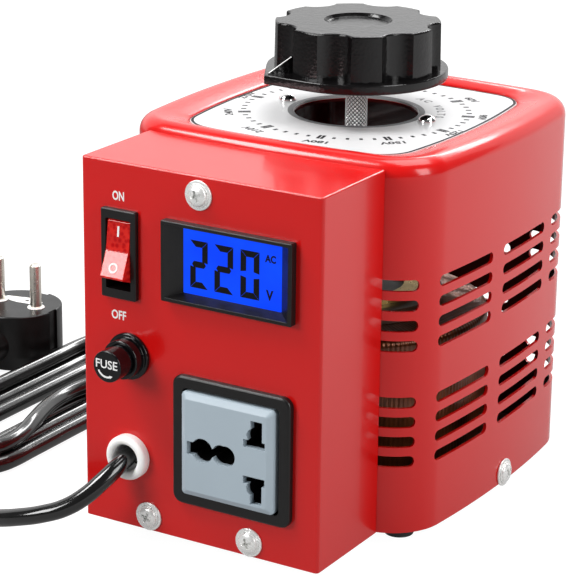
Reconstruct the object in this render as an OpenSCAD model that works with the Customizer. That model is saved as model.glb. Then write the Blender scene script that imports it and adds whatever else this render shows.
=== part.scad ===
// Bench variable autotransformer: a toroidal winding with a carbon brush swept by a top knob, in a
// slotted sheet-steel housing, with a control box on the front that carries the meter and outlet.
// Origin at the middle of the footprint, on the surface that it stands on. +Z is up, the control
// panel faces -Y. Millimetres.

/* [Housing] */
// Width of the housing across the sides
housing_w = 126; // [116:1:140]
// Depth of the housing, front face to rear face
housing_d = 129; // [120:1:140]
// Height of the housing above its lower edge
housing_h = 133; // [128:1:150]
// Plan radius of the housing's corners
corner_r = 20; // [14:1:26]
// Plan radius of the slightly bowed sides
side_r = 450; // [300:10:900]
// Radius of the rolled top edge
edge_r = 6; // [3:0.5:8]
// Thickness of the painted sheet
sheet_t = 1.2; // [0.8:0.1:2]

/* [Vents] */
// Length of one slot
slot_l = 35; // [24:1:36]
// Height of one slot
slot_h = 4; // [3:0.5:5]
// Step between the slots of a group
slot_pitch = 7.2; // [6:0.1:8]

/* [Feet] */
// Height of the rubber feet
foot_h = 6; // [5:0.5:10]
// Diameter of the rubber feet
foot_d = 11; // [9:0.5:14]

/* [Control box] */
// Width of the control box
box_w = 94; // [90:1:96]
// How far the panel stands in front of the housing
box_d = 37.5; // [36:0.5:48]
// Height of the control box
box_h = 130; // [128:1:132]

/* [Dial and knob] */
// Width of the dial plate
plate_w = 94; // [86:1:98]
// Depth of the dial plate
plate_d = 105; // [90:1:108]
// Diameter of the hole in the middle of the plate
hole_d = 44.8; // [40:0.2:46]
// Diameter of the knob's flange
flange_d = 65; // [60:1:72]
// Diameter over the knob's lobes
knob_d = 59.4; // [54:0.2:64]
// Number of lobes
lobes = 8; // [6:1:10]

/* [Transformer] */
// Outer radius of the winding
coil_r = 50; // [46:1:52]
// Radius of the winding's bore
coil_bore_r = 19; // [18:1:20]
// Height of the winding
coil_h = 53; // [45:1:56]
// Travel of the brush, end stop to end stop, in degrees
travel = 330; // [300:5:335]
// Diameter of the shaft
shaft_d = 8; // [8:1:8]

/* [Cord] */
// Diameter of the mains cord
cord_d = 6.2; // [5.8:0.1:6.6]

/* [Hidden] */
$fn = 64;
eps = 0.01;

// Places along the depth: the fuse cap is the frontmost point, the housing the rearmost.
fuse_out = 13.5;
total_d = housing_d + box_d + fuse_out;
axis_y = total_d / 2 - housing_d / 2;
panel_y = -total_d / 2 + fuse_out;
panel_in = panel_y + sheet_t;
box_x = -1;

// Heights
base_z = foot_h;
base_t = 1.5;
deck_z = base_z + base_t;
crest_z = base_z + housing_h;
seat_z = crest_z - 3;
plate_t = 0.8;
plate_z = seat_z + plate_t;
coil_z = deck_z + 6;
coil_top = coil_z + coil_h;
clamp_top = coil_top + 5;
arm_z = coil_top + 20.5;
arm_t = 2.5;
knob_z = plate_z + 13.2;
knob_flange_t = 3.6;
knob_h = 20;
shaft_r = shaft_d / 2;
shaft_top = knob_z + 11;

// Angles about the shaft: the pointer stands at 120 degrees on the scale's zero.
zero_deg = 120;
rest_deg = -122;
gap_deg = 24;
gap_mid = zero_deg + (360 - travel) / 2;
arm_r = 41;
collector_r = 22.5;
stop_r = 29.5;
bolt_ring_r = 13;

// Panel pieces: places across the panel and above the floor
meter_at = [11, 105.7];
meter_size = [50.5, 28];
switch_at = [-32, 104.3];
switch_size = [14, 31.2];
pivot_y = -72;
rocker_tilt = 15;
socket_at = [13, 43.4];
socket_size = 46.2;
openings_at = [14.2, 42.35];
insert_out = 4.7;
fuse_at = [-29, 68.5];
bushing_at = [-29, 32];
box_screw_at = [[box_x, 129.5], [box_x - 20.3, 11.2], [box_x + 20.3, 11.2]];
side_screw_at = [28, 10];
foot_at = [[46, -19.5], [-46, -19.5], [46, 70.5], [-46, 70.5]];
dial_screw_r = 28.8;

// Cord: a hank along the housing's left side, and the plug on its back beyond it
cord_r = cord_d / 2;
hank_at = [-128, 7.5];
hank_run = 104;
hank_turn_r = [9.2, 24];
lead_route = [[-29, -70, 33], [-29, -76, 32.4], [-29.6, -82, 30.4], [-31.5, -88.3, 26.8],
    [-35.2, -94.2, 22], [-40.8, -98.6, 17.8], [-48.6, -101.4, 14.6], [-58, -102.4, 11.6],
    [-68, -101.6, 8.6], [-79, -99.4, 5.8], [-91, -96.2, 3.9], [-103, -92.4, 3.1], [-115, -88, 3.1],
    [-126, -82, 3.1], [-135.5, -74, 3.1], [-143, -64.5, 3.1], [-148, -58.5, 3.1], [-151.2, -51, 3.1],
    [-152, -44.5, 3.1]];
tail_route = [[-148.3, -44.5, 8.2], [-150.6, -35, 9.6], [-154.4, -25.5, 9.9], [-158.8, -16.2, 10.2],
    [-164, -9, 10.8], [-169, -1.8, 11], [-172.8, 5.6, 11], [-174.6, 13, 11]];
plug_at = [-175, 52];
plug_r = 18.5;
plug_h = 24;
relief_len = 27;
relief_z = 11;

// ---------- shared shapes ----------

// Points along an arc, the last one left to the next arc.
function arc_points(c, r, a, b, n) =
    [for (i = [0 : n - 1]) c + r * [cos(a + (b - a) * i / n), sin(a + (b - a) * i / n)]];

// Centre of the corner arc that runs smoothly into two bowed sides.
function corner_centre(hx, hy, r, rs) =
    let (a = rs - hx, b = rs - hy, d = norm([a, b]), h = sqrt(pow(rs - r, 2) - d * d / 4))
    [-a / 2 + b * h / d, -b / 2 + a * h / d];

// Rounded square with bowed sides: four side arcs and four corner arcs, drawn inset all round.
function outline(w, d, r, rs, inset = 0, ns = 6, nc = 6) =
    let (hx = w / 2, hy = d / 2, c = corner_centre(hx, hy, r, rs),
        a1 = atan2(c[1], c[0] - hx + rs), a2 = atan2(c[1] - hy + rs, c[0]),
        q = rs - inset, p = r - inset)
    concat(arc_points([hx - rs, 0], q, -a1, a1, ns), arc_points(c, p, a1, a2, nc),
        arc_points([0, hy - rs], q, a2, 180 - a2, ns),
        arc_points([-c[0], c[1]], p, 180 - a2, 180 - a1, nc),
        arc_points([rs - hx, 0], q, 180 - a1, 180 + a1, ns),
        arc_points([-c[0], -c[1]], p, 180 + a1, 180 + a2, nc),
        arc_points([0, rs - hy], q, 180 + a2, 360 - a2, ns),
        arc_points([c[0], -c[1]], p, 360 - a2, 360 - a1, nc));

// The same outline lifted to a height, as one ring of a loft.
function ring(z, w, d, r, rs, inset = 0) =
    [for (p = outline(w, d, r, rs, inset)) [p[0], p[1] + axis_y, z]];

// Closed solid through a stack of rings that all have the same number of points.
module loft(rings) {
    n = len(rings[0]);
    m = len(rings);
    polyhedron(
        points = [for (r = rings, p = r) p],
        faces = concat(
            [[for (i = [0 : n - 1]) i]],
            [for (k = [0 : m - 2], i = [0 : n - 1])
                [k * n + i, (k + 1) * n + i, k * n + (i + 1) % n]],
            [for (k = [0 : m - 2], i = [0 : n - 1])
                [k * n + (i + 1) % n, (k + 1) * n + i, (k + 1) * n + (i + 1) % n]],
            [[for (i = [n - 1 : -1 : 0]) (m - 1) * n + i]]));
}

// Round tube swept along a route, its rings kept square to the route.
module route_tube(route, r, sides = 8) {
    n = len(route);
    dirs = [for (i = [0 : n - 1])
        let (d = route[min(i + 1, n - 1)] - route[max(i - 1, 0)]) d / norm(d)];
    points = [for (i = [0 : n - 1])
        let (t = dirs[i], s = cross(t, [0, 0, 1]), u = s / norm(s), v = cross(u, t))
        for (k = [0 : sides - 1])
            route[i] + r * (u * cos(k * 360 / sides) + v * sin(k * 360 / sides))];
    polyhedron(points = points, faces = concat(
        [[for (k = [0 : sides - 1]) k]],
        [for (i = [0 : n - 2], k = [0 : sides - 1])
            [i * sides + k, (i + 1) * sides + k, i * sides + (k + 1) % sides]],
        [for (i = [0 : n - 2], k = [0 : sides - 1])
            [i * sides + (k + 1) % sides, (i + 1) * sides + k, (i + 1) * sides + (k + 1) % sides]],
        [[for (k = [sides - 1 : -1 : 0]) (n - 1) * sides + k]]));
}

// Rounded rectangle, centred
module rounded_rect(w, h, r) {
    square([w - 2 * r, h], center = true);
    square([w, h - 2 * r], center = true);
    for (x = [-1, 1], y = [-1, 1])
        translate([x * (w / 2 - r), y * (h / 2 - r)]) circle(r);
}

// Puts a flat shape on the panel, extruded from y0 to y1 along the depth.
module on_panel(at, y0, y1) {
    translate([at[0], y1, at[1]]) rotate([90, 0, 0]) linear_extrude(y1 - y0) children();
}

// Puts children on the shaft's axis, turned to an angle, at a radius and height.
module on_axis(deg = 0, r = 0, z = 0) {
    translate([0, axis_y, z]) rotate([0, 0, deg]) translate([r, 0, 0]) children();
}

// Hollow cylinder standing on z = 0
module tube(r_out, r_in, h) {
    difference() {
        cylinder(r = r_out, h = h);
        translate([0, 0, -1]) cylinder(r = r_in, h = h + 2);
    }
}

// Washer-head screw along +Z, its washer's underside at z = 0, with a cross recess
module washer_screw(shank_l) {
    difference() {
        union() {
            cylinder(r = 5.1, h = 0.8);
            cylinder(r = 3.6, h = 2.4);
            translate([0, 0, -shank_l]) cylinder(r = 2, h = shank_l + eps);
        }
        translate([0, 0, 2]) {
            cube([3.6, 0.8, 1.8], center = true);
            cube([0.8, 3.6, 1.8], center = true);
        }
    }
}

// Hexagon nut standing on z = 0
module nut(across_r, hole_r, h) {
    difference() {
        cylinder(r = across_r, h = h, $fn = 6);
        translate([0, 0, -1]) cylinder(r = hole_r, h = h + 2);
    }
}

// ---------- base ----------

module base_outline() {
    translate([0, axis_y]) polygon(outline(housing_w, housing_d, corner_r, side_r, sheet_t + 0.3));
    translate([box_x - box_w / 2 + sheet_t + 0.2, panel_in + 0.2])
        square([box_w - 2 * sheet_t - 0.4, 60]);
}

module base_plate() {
    tab_x = housing_w / 2 - sheet_t - 0.3 - base_t;
    color("silver") difference() {
        union() {
            translate([0, 0, base_z]) linear_extrude(base_t) base_outline();
            for (s = [-1, 1])
                translate([s * (tab_x + base_t / 2), side_screw_at[0], deck_z + 4])
                    cube([base_t, 22, 8 + eps], center = true);
            translate([box_x - 36, panel_in + 0.2, deck_z - eps]) cube([72, base_t, 9]);
        }
        for (p = foot_at) translate([p[0], p[1], 0]) cylinder(r = 1.6, h = 20);
        for (a = [90, 210, 330]) on_axis(a, bolt_ring_r) cylinder(r = 2.1, h = 20);
        for (s = [-1, 1])
            translate([s * tab_x, side_screw_at[0], side_screw_at[1]])
                rotate([0, 90, 0]) cylinder(r = 2.05, h = 8, center = true);
        for (i = [1, 2]) on_panel(box_screw_at[i], panel_y, panel_y + 8) circle(2.05);
    }
}

module rubber_feet() {
    color("#1c1c1c") for (p = foot_at) translate([p[0], p[1], 0]) difference() {
        cylinder(d = foot_d, h = foot_h);
        translate([0, 0, -1]) cylinder(r = 3.2, h = 3.5);
        cylinder(r = 1.6, h = foot_h + 1);
    }
}

module foot_screws() {
    color("gainsboro") for (p = foot_at) translate([p[0], p[1], 0]) {
        translate([0, 0, 0.8]) cylinder(r = 2.9, h = 1.7);
        translate([0, 0, 2.4]) cylinder(r = 1.5, h = deck_z + 0.9);
    }
}

module foot_nuts() {
    color("gainsboro") for (p = foot_at) translate([p[0], p[1], deck_z]) nut(3.2, 1.55, 2.4);
}

// ---------- housing ----------

// Rings of the housing's skin, moved inwards by t to draw its inner face.
function skin(t, z0) = concat(
    [ring(z0, housing_w, housing_d, corner_r, side_r, t)],
    [for (a = [0, 30, 60, 90])
        ring(crest_z - edge_r + (edge_r - t) * sin(a), housing_w, housing_d, corner_r, side_r,
            edge_r - (edge_r - t) * cos(a))],
    [ring(seat_z - t, plate_w + 1.6 + 2 * t, plate_d + 1.6 + 2 * t, 14, 280)]);

// Both groups of slots of one wall. A column is its middle and its length along the wall.
module wall_vents(columns) {
    for (c = columns, g = [0, 1], k = [0 : 3])
        translate([0, c[0], vent_z(g, k)]) rotate([90, 0, 90])
            linear_extrude(8, center = true) rounded_rect(c[1], slot_h, slot_h / 2 - eps);
}

function vent_z(group, k) = base_z + (group == 0 ? 90 : 48.1) - k * slot_pitch;

module corner_vents(a, b) {
    rotate([0, 0, a]) rotate_extrude(angle = b - a)
        translate([corner_r - 5, -slot_h / 2]) square([8, slot_h]);
}

module vents() {
    c = corner_centre(housing_w / 2, housing_d / 2, corner_r, side_r);
    translate([0, axis_y, 0]) {
        // The third column only leads the rear corner's slots onto the side
        for (s = [-1, 1]) translate([s * housing_w / 2, 0, 0])
            wall_vents([[-30.2, slot_l], [13, slot_l], [44.4, 13]]);
        translate([0, housing_d / 2, 0]) rotate([0, 0, 90])
            wall_vents([for (c = [-1, 1]) [c * 18.5, 31]]);
        for (s = [0, 1], g = [0, 1], k = [0 : 3]) mirror([s, 0, 0]) {
            translate([c[0], c[1], vent_z(g, k)]) corner_vents(6, 84);
            translate([c[0], -c[1], vent_z(g, k)]) corner_vents(-84, -39);
        }
    }
}

module housing_cover() {
    color("#c8181c") difference() {
        loft(skin(0, base_z));
        loft(skin(sheet_t, base_z - 1));
        on_axis() cylinder(d = hole_d, h = crest_z + 5);
        for (a = [0, 180]) on_axis(a, dial_screw_r) cylinder(r = 1.6, h = crest_z + 5);
        vents();
        for (s = [-1, 1])
            translate([s * housing_w / 2, side_screw_at[0], side_screw_at[1]])
                rotate([0, 90, 0]) cylinder(r = 2.3, h = 8, center = true);
        // Notch over the base plate, and the way through for the leads, both behind the control box
        translate([box_x - box_w / 2 + 0.8, axis_y - housing_d / 2 - 5, base_z - 1])
            cube([box_w - 1.6, 20, base_t + 1.4]);
        translate([-20, axis_y - housing_d / 2 - 5, 70]) cube([40, 12, 26]);
    }
}

module housing_screws() {
    color("gainsboro") for (s = [-1, 1])
        translate([s * (housing_w / 2 + 0.05), side_screw_at[0], side_screw_at[1]])
            rotate([0, s * 90, 0]) washer_screw(6);
}

// ---------- control box ----------

module control_box() {
    rear_y = axis_y - housing_d / 2 + 8;
    mid_y = (panel_y + rear_y) / 2;
    color("#c8181c") difference() {
        translate([box_x, mid_y, base_z]) linear_extrude(box_h)
            rounded_rect(box_w, rear_y - panel_y, 2);
        translate([box_x, mid_y + 1, base_z - 1]) linear_extrude(box_h + 1 - sheet_t)
            rounded_rect(box_w - 2 * sheet_t, rear_y - panel_y + 2 - 2 * sheet_t, 1);
        translate([0, axis_y, base_z - 1]) linear_extrude(box_h + 2)
            polygon(outline(housing_w, housing_d, corner_r, side_r, -0.15));
        on_panel(meter_at, panel_y - 1, panel_y + 3) square([45.4, 26.8], center = true);
        on_panel(switch_at, panel_y - 1, panel_y + 3) square([12.8, 28.8], center = true);
        on_panel(socket_at, panel_y - 1, panel_y + 3) square(42.6, center = true);
        on_panel(fuse_at, panel_y - 1, panel_y + 3) circle(6.4);
        on_panel(bushing_at, panel_y - 1, panel_y + 3) circle(6.9);
        for (p = box_screw_at) on_panel(p, panel_y - 1, panel_y + 3) circle(2.3);
    }
}

module box_screws() {
    color("gainsboro") for (p = box_screw_at)
        translate([p[0], panel_y, p[1]]) rotate([90, 0, 0]) washer_screw(6);
}

// Bracket from the housing's front face to the top of the panel
module panel_bracket() {
    wall_y = axis_y - housing_d / 2 - 0.1;
    color("silver") difference() {
        translate([box_x - 8, 0, 0]) {
            translate([0, panel_in + 0.1, 121]) cube([16, base_t, 13]);
            translate([0, panel_in + 0.1, 121]) cube([16, wall_y - panel_in - 0.1, base_t]);
            translate([0, wall_y - base_t, 109]) cube([16, base_t, 13.5]);
        }
        on_panel(box_screw_at[0], panel_y, panel_y + 8) circle(2.05);
    }
}

// ---------- dial ----------

module dial_plate() {
    color("white") translate([0, 0, seat_z]) difference() {
        linear_extrude(plate_t) translate([0, axis_y]) polygon(outline(plate_w, plate_d, 14, 280));
        on_axis(z = -1) cylinder(d = hole_d, h = 4);
        for (a = [0, 180]) on_axis(a, dial_screw_r, -1) cylinder(r = 1.6, h = 4);
    }
}

module dial_screws() {
    color("whitesmoke") for (a = [0, 180]) on_axis(a, dial_screw_r, plate_z) {
        intersection() {
            translate([0, 0, -1.2]) sphere(r = 3.45);
            cylinder(r = 3.2, h = 3);
        }
        translate([0, 0, -6]) cylinder(r = 1.5, h = 6 + eps);
    }
}

module dial_nuts() {
    color("gainsboro") for (a = [0, 180])
        on_axis(a, dial_screw_r, seat_z - sheet_t - 2.4) nut(3.2, 1.55, 2.4);
}

// ---------- transformer ----------

core_in = coil_bore_r + 4;
core_out = coil_r - 4;

module core() {
    color("dimgray") on_axis(z = coil_z + 3.5) tube(core_out - 0.2, core_in + 0.2, coil_h - 7);
}

module core_caps() {
    color("#d8cfa8") for (z = [coil_z + 2.5, coil_top - 3.5])
        on_axis(z = z) tube(core_out - 0.1, core_in + 0.1, 1);
}

// One layer of turns round the core, left open over the stops
module winding() {
    color("#b8652a") on_axis(gap_mid + gap_deg / 2, 0, coil_z + coil_h / 2)
        rotate_extrude(angle = 360 - gap_deg)
            translate([(coil_r + coil_bore_r) / 2, 0]) difference() {
                rounded_rect(coil_r - coil_bore_r, coil_h, 3);
                square([core_out - core_in, coil_h - 5], center = true);
            }
}

module clamp_bolt_holes() {
    for (a = [90, 210, 330]) on_axis(a, bolt_ring_r, -1) cylinder(r = 2.1, h = 200);
}

module coil_base() {
    color("#5a2a18") difference() {
        on_axis(z = deck_z) cylinder(r = coil_r, h = coil_z - deck_z);
        on_axis() cylinder(r = 6.5, h = 200);
        clamp_bolt_holes();
    }
}

module coil_clamp() {
    color("#5a2a18") difference() {
        union() {
            on_axis(z = coil_top) cylinder(r = 33, h = clamp_top - coil_top);
            on_axis(z = coil_top - 4.5) cylinder(r = coil_bore_r - 0.5, h = 5);
        }
        on_axis() cylinder(r = 6.5, h = 200);
        clamp_bolt_holes();
    }
}

module clamp_bolts() {
    color("gainsboro") for (a = [90, 210, 330]) on_axis(a, bolt_ring_r) {
        translate([0, 0, base_z - 2.4]) cylinder(r = 3.5, h = 2.4);
        translate([0, 0, base_z - eps]) cylinder(r = 2, h = clamp_top + 4.3 - base_z);
    }
}

module clamp_nuts() {
    color("gainsboro") for (a = [90, 210, 330])
        on_axis(a, bolt_ring_r, clamp_top) nut(4, 2.05, 3.2);
}

module lower_bush() {
    color("goldenrod") on_axis(z = deck_z) {
        tube(6.5, shaft_r + 0.05, coil_z - deck_z);
        translate([0, 0, coil_z - deck_z]) tube(9, shaft_r + 0.05, 1.5);
    }
}

module upper_bush() {
    color("goldenrod") on_axis(z = coil_top - 4.5) {
        tube(6.5, shaft_r + 0.05, 9.5);
        translate([0, 0, 9.5]) tube(8.5, shaft_r + 0.05, 1.5);
    }
}

module slip_ring() {
    color("goldenrod") on_axis(z = clamp_top) tube(26, 19, 1.5);
}

module stop_post() {
    color("gainsboro") on_axis(gap_mid, stop_r, clamp_top) cylinder(r = 3.2, h = 10);
}

// ---------- rotor ----------

module shaft() {
    color("lightsteelblue") on_axis(z = deck_z + 1.5) cylinder(r = shaft_r, h = shaft_top - deck_z - 1.5);
}

module shaft_collar() {
    color("gainsboro") on_axis(z = coil_top - 12.5) tube(8.5, shaft_r, 7.5);
}

module thrust_washer() {
    color("#d8cfa8") on_axis(z = clamp_top + 1.8) tube(8.5, shaft_r, 3.2);
}

module arm_hub() {
    color("#5a2a18") on_axis(rest_deg, 0, clamp_top + 5) difference() {
        tube(10, shaft_r, arm_z - clamp_top - 5);
        for (s = [-1, 1]) translate([0, s * 7, 2]) cylinder(r = 1.55, h = 40);
    }
}

module brush_arm() {
    color("lightgray") on_axis(rest_deg, 0, arm_z) difference() {
        linear_extrude(arm_t) {
            circle(16);
            translate([0, -11]) square([39, 22]);
            translate([39, 0]) circle(11);
            translate([-20, -8]) square([20, 16]);
        }
        translate([0, 0, -1]) cylinder(r = 5.2, h = 5);
        for (s = [-1, 1]) translate([0, s * 7, -1]) cylinder(r = 1.6, h = 5);
    }
}

module arm_screws() {
    color("gainsboro") on_axis(rest_deg, 0, arm_z) for (s = [-1, 1]) translate([0, s * 7, 0]) {
        translate([0, 0, arm_t]) cylinder(r = 2.6, h = 1.8);
        translate([0, 0, -6]) cylinder(r = 1.5, h = 6 + arm_t + eps);
    }
}

module brush_holder() {
    color("goldenrod") on_axis(rest_deg, arm_r, coil_top + 3) linear_extrude(arm_z - coil_top - 3)
        difference() {
            square([11, 13], center = true);
            square([6.6, 8.6], center = true);
        }
}

module carbon_brush() {
    color("#303030") on_axis(rest_deg, arm_r, coil_top + 0.3)
        translate([-3, -4, 0]) cube([6, 8, 13.2]);
}

module brush_spring() {
    color("silver") on_axis(rest_deg, arm_r, coil_top + 13.5) tube(2.6, 1.8, 7);
}

module collector_brush() {
    color("#303030") on_axis(rest_deg, collector_r, clamp_top + 1.8)
        cylinder(r = 2.5, h = arm_z - clamp_top - 1.8);
}

module stop_pin() {
    color("gainsboro") on_axis(rest_deg, stop_r, clamp_top + 2)
        cylinder(r = 3.2, h = arm_z - clamp_top - 2);
}

// Flange with a tangent pointer, and a fluted grip with a shallow recess in its top
module knob() {
    tip_r = 37.2;
    tangent = acos(flange_d / 2 / tip_r);
    flute_depth = 3.6;
    flute_r = 7.8;
    color("#161616") on_axis(rest_deg, 0, knob_z) difference() {
        union() {
            linear_extrude(knob_flange_t) {
                circle(d = flange_d, $fn = 128);
                polygon([[tip_r, 0],
                    flange_d / 2 * [cos(tangent), sin(tangent)], [0, 0],
                    flange_d / 2 * [cos(tangent), -sin(tangent)]]);
            }
            translate([0, 0, knob_flange_t - eps]) linear_extrude(knob_h - knob_flange_t + eps)
                difference() {
                    circle(d = knob_d, $fn = 128);
                    for (k = [0 : lobes - 1]) rotate(k * 360 / lobes)
                        translate([knob_d / 2 - flute_depth + flute_r, 0]) circle(flute_r);
                }
        }
        translate([0, 0, -1]) cylinder(r = shaft_r, h = shaft_top - knob_z + 1);
        translate([0, 0, knob_h - 1.5]) cylinder(r = 12, h = 3);
        translate([0, 0, 8]) rotate([0, -90, 0]) cylinder(r = 2, h = 40);
    }
}

module knob_set_screw() {
    color("dimgray") on_axis(rest_deg, 0, knob_z + 8)
        translate([-shaft_r, 0, 0]) rotate([0, -90, 0]) cylinder(r = 2, h = 9);
}

// ---------- meter ----------

module meter_bezel() {
    color("#202020") difference() {
        union() {
            on_panel(meter_at, panel_y - 3, panel_y) square(meter_size, center = true);
            on_panel(meter_at, panel_y - eps, panel_y + 14) square([45, 26.4], center = true);
        }
        hull() {
            on_panel(meter_at, panel_y - 3.2, panel_y - 3.1) square([48, 25.4], center = true);
            on_panel(meter_at, panel_y + 1.4, panel_y + 1.6) square([38, 22.4], center = true);
        }
        on_panel(meter_at, panel_y + 1.5, panel_y + 20) square([41, 24.4], center = true);
    }
}

module meter_display() {
    color("#0a4cff") on_panel(meter_at, panel_y + 1.5, panel_y + 3.5)
        square([40.6, 24], center = true);
}

module meter_board() {
    color("darkgreen") on_panel(meter_at, panel_y + 7, panel_y + 8.6)
        square([40, 23], center = true);
    color("#202020") {
        on_panel(meter_at + [-10, 3], panel_y + 8.6 - eps, panel_y + 12) square([14, 7], center = true);
        on_panel(meter_at + [12, -4], panel_y + 8.6 - eps, panel_y + 13.6) circle(4);
    }
}

// ---------- switch ----------

cavity_h = 24.6;

module switch_body() {
    color("#202020") difference() {
        union() {
            on_panel(switch_at, panel_y - 2, panel_y) square(switch_size, center = true);
            on_panel(switch_at, panel_y - eps, panel_y + 18.5) square([12.4, 28.4], center = true);
        }
        on_panel(switch_at, panel_y - 3, panel_y + 15) square([10, cavity_h], center = true);
        translate([switch_at[0], pivot_y, switch_at[1]]) rotate([0, 90, 0])
            cylinder(r = 1.3, h = 20, center = true);
    }
}

// Drawn level about its pivot, then tipped to its ON side
module rocker() {
    color("#d01414") translate([switch_at[0], pivot_y, switch_at[1]]) rotate([-rocker_tilt, 0, 0]) {
        rotate([90, 0, 90]) linear_extrude(9.4, center = true)
            polygon([[-8.5, 10], [-7, 0], [-8.5, -10], [-2, -10.6], [3, -5], [3, 5], [-2, 10.6]]);
        rotate([0, 90, 0]) cylinder(r = 1.25, h = 11.6, center = true);
    }
}

module switch_terminals() {
    color("goldenrod") for (z = [-9, 0, 9])
        on_panel(switch_at + [0, z], panel_y + 18.5, panel_y + 26) square([0.8, 4.8], center = true);
}

// ---------- outlet ----------

module socket_openings() {
    // Earth: blade, round and oval pins share one opening, left of the middle
    translate([-14.5, 0]) square([5, 4.7], center = true);
    translate([-10.9, 0]) circle(4.3);
    for (x = [-3.4, -1.5]) translate([x, 0]) circle(3.6);
    translate([-9, -1.6]) square([6, 3.2]);
    // Live: a tall slot over a wide foot, with a bulge for round pins, mirrored about the earth
    for (s = [-1, 1]) {
        translate([10.35, s * 10]) square([4.5, 9.7], center = true);
        translate([9.5, s * 6.5]) square([8.4, 2.7], center = true);
        translate([9.3, s * 9.4]) circle(2.7);
    }
}

module socket_frame() {
    color("#202020") difference() {
        union() {
            on_panel(socket_at, panel_y - 2.5, panel_y) rounded_rect(socket_size, socket_size, 3.5);
            on_panel(socket_at, panel_y - eps, panel_y + 10) square(42, center = true);
        }
        on_panel(socket_at, panel_y - 5, panel_y + 20) square(38, center = true);
    }
}

module socket_insert() {
    color("#9fb0bd") difference() {
        on_panel(socket_at + [-0.6, -0.3], panel_y - insert_out, panel_y + 8.5)
            rounded_rect(36.4, 37.2, 1.5);
        on_panel(openings_at, panel_y - 9, panel_y + 9) socket_openings();
    }
}

module socket_back() {
    color("#202020") difference() {
        on_panel(socket_at, panel_y + 8.5, panel_y + 25) square(37.8, center = true);
        on_panel(openings_at, panel_y + 8, panel_y + 22) socket_openings();
    }
}

module socket_contacts() {
    color("goldenrod") {
        for (s = [-1, 1]) on_panel(openings_at + [10.35, s * 10.4], panel_y + 20, panel_y + 22)
            square([4, 6.6], center = true);
        on_panel(openings_at + [-10.9, 0], panel_y + 20, panel_y + 22) circle(3.8);
    }
}

// ---------- fuse ----------

module fuse_holder() {
    color("#161616") difference() {
        union() {
            on_panel(fuse_at, panel_y - 1.5, panel_y) circle(7.9);
            on_panel(fuse_at, panel_y - 5.9, panel_y - 1.5 + eps) circle(6.9);
            on_panel(fuse_at, panel_y - eps, panel_y + 28) circle(6.3);
            for (s = [-1, 1]) on_panel(fuse_at + [0, s * 3], panel_y + 28 - eps, panel_y + 35)
                square([4, 0.8], center = true);
        }
        on_panel(fuse_at, panel_y - 7, panel_y + 26) circle(5);
    }
}

module fuse_nut() {
    color("#161616") on_panel(fuse_at, panel_in, panel_in + 3) difference() {
        circle(r = 9.6, $fn = 6);
        circle(6.35);
    }
}

module fuse_cap() {
    color("#161616") difference() {
        union() {
            on_panel(fuse_at, -total_d / 2, panel_y - 6.2) circle(5.6);
            on_panel(fuse_at, panel_y - 6.2 - eps, panel_y + 2.5) circle(4.7);
        }
        on_panel(fuse_at, panel_y - 2.5, panel_y + 3) circle(2.9);
    }
}

module fuse_link() {
    color("whitesmoke") on_panel(fuse_at, panel_y - 2.2, panel_y + 17.8) circle(2.6);
}

// ---------- wiring ----------

module cord_bushing() {
    color("white") difference() {
        union() {
            on_panel(bushing_at, panel_y - 4, panel_y) circle(8);
            on_panel(bushing_at, panel_y - eps, panel_y + 4.5) circle(6.8);
            on_panel(bushing_at, panel_in + 0.1, panel_in + 1.6) circle(7.6);
        }
        on_panel(bushing_at, panel_y - 5, panel_y + 6) circle(4.8);
    }
}

module terminal_block() {
    color("ivory") difference() {
        translate([-36, -64, deck_z]) cube([30, 12, 10]);
        for (k = [0 : 2]) translate([-31 + k * 10, -58, deck_z + 5]) cylinder(r = 2.1, h = 10);
    }
}

module lead_wires() {
    color("#2b4fb0") {
        route_tube([[-21, -51.5, 12], [-21, -46, 14], [-22, -43, 24], [-22.5, -43, 50], [-24, -44, 78],
            [-29, -47, 91], [-32, -49.5, 95.3]], 1);
        route_tube([[-31, -51.5, 12], [-33, -45, 16], [-36, -43, 30], [-34, -42.5, 52],
            [-30, -40.6, 61], [-29, -40.4, 64.4]], 1);
        route_tube([[24, -51, 46], [22, -45, 52], [14, -43, 66], [6, -42, 78], [0, -38, 84],
            [-4, -30, 84], [-8, -26.5, 74]], 1);
    }
}

// ---------- cord and plug ----------

module power_cord() {
    color("#141414") route_tube(lead_route, cord_r);
}

// The hank's turns as one solid: an oval ring as wide as three turns and two deep
module hank_oval(r) {
    square([2 * r, hank_run], center = true);
    for (s = [-1, 1]) translate([0, s * hank_run / 2]) circle(r);
}

module cord_hank() {
    color("#141414") translate([hank_at[0], hank_at[1], 0]) linear_extrude(2 * cord_d)
        difference() {
            hank_oval(hank_turn_r[1] + cord_r);
            hank_oval(hank_turn_r[0] - cord_r);
        }
}

module cord_tail() {
    color("#141414") route_tube(tail_route, cord_r);
}

// Puts children in the plug's own frame: pins along +Z, the cord leaving along -Y.
module plug_frame() {
    translate([plug_at[0], plug_at[1], 0]) children();
}

module plug_body() {
    color("#161616") plug_frame() difference() {
        union() {
            cylinder(r = plug_r, h = plug_h);
            translate([0, -plug_r + 4, relief_z]) rotate([90, 0, 0])
                cylinder(r1 = 8, r2 = 4.6, h = relief_len);
        }
        for (s = [-1, 1]) translate([-3.5, s * (plug_r - 1) - 2, 14]) cube([7, 4, plug_h]);
        for (s = [-1, 1]) translate([s * 9.5, 0, plug_h - 8]) cylinder(r = 2.4, h = 10);
    }
}

module plug_pins() {
    color("gainsboro") plug_frame() for (s = [-1, 1]) translate([s * 9.5, 0, plug_h - 8])
        cylinder(r = 2.4, h = 27);
}

module plug_earth_clips() {
    color("gainsboro") plug_frame() for (s = [-1, 1])
        translate([-3, s * (plug_r - 2.4) - 0.6, 14]) cube([6, 1.2, plug_h - 14.5]);
}

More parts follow.
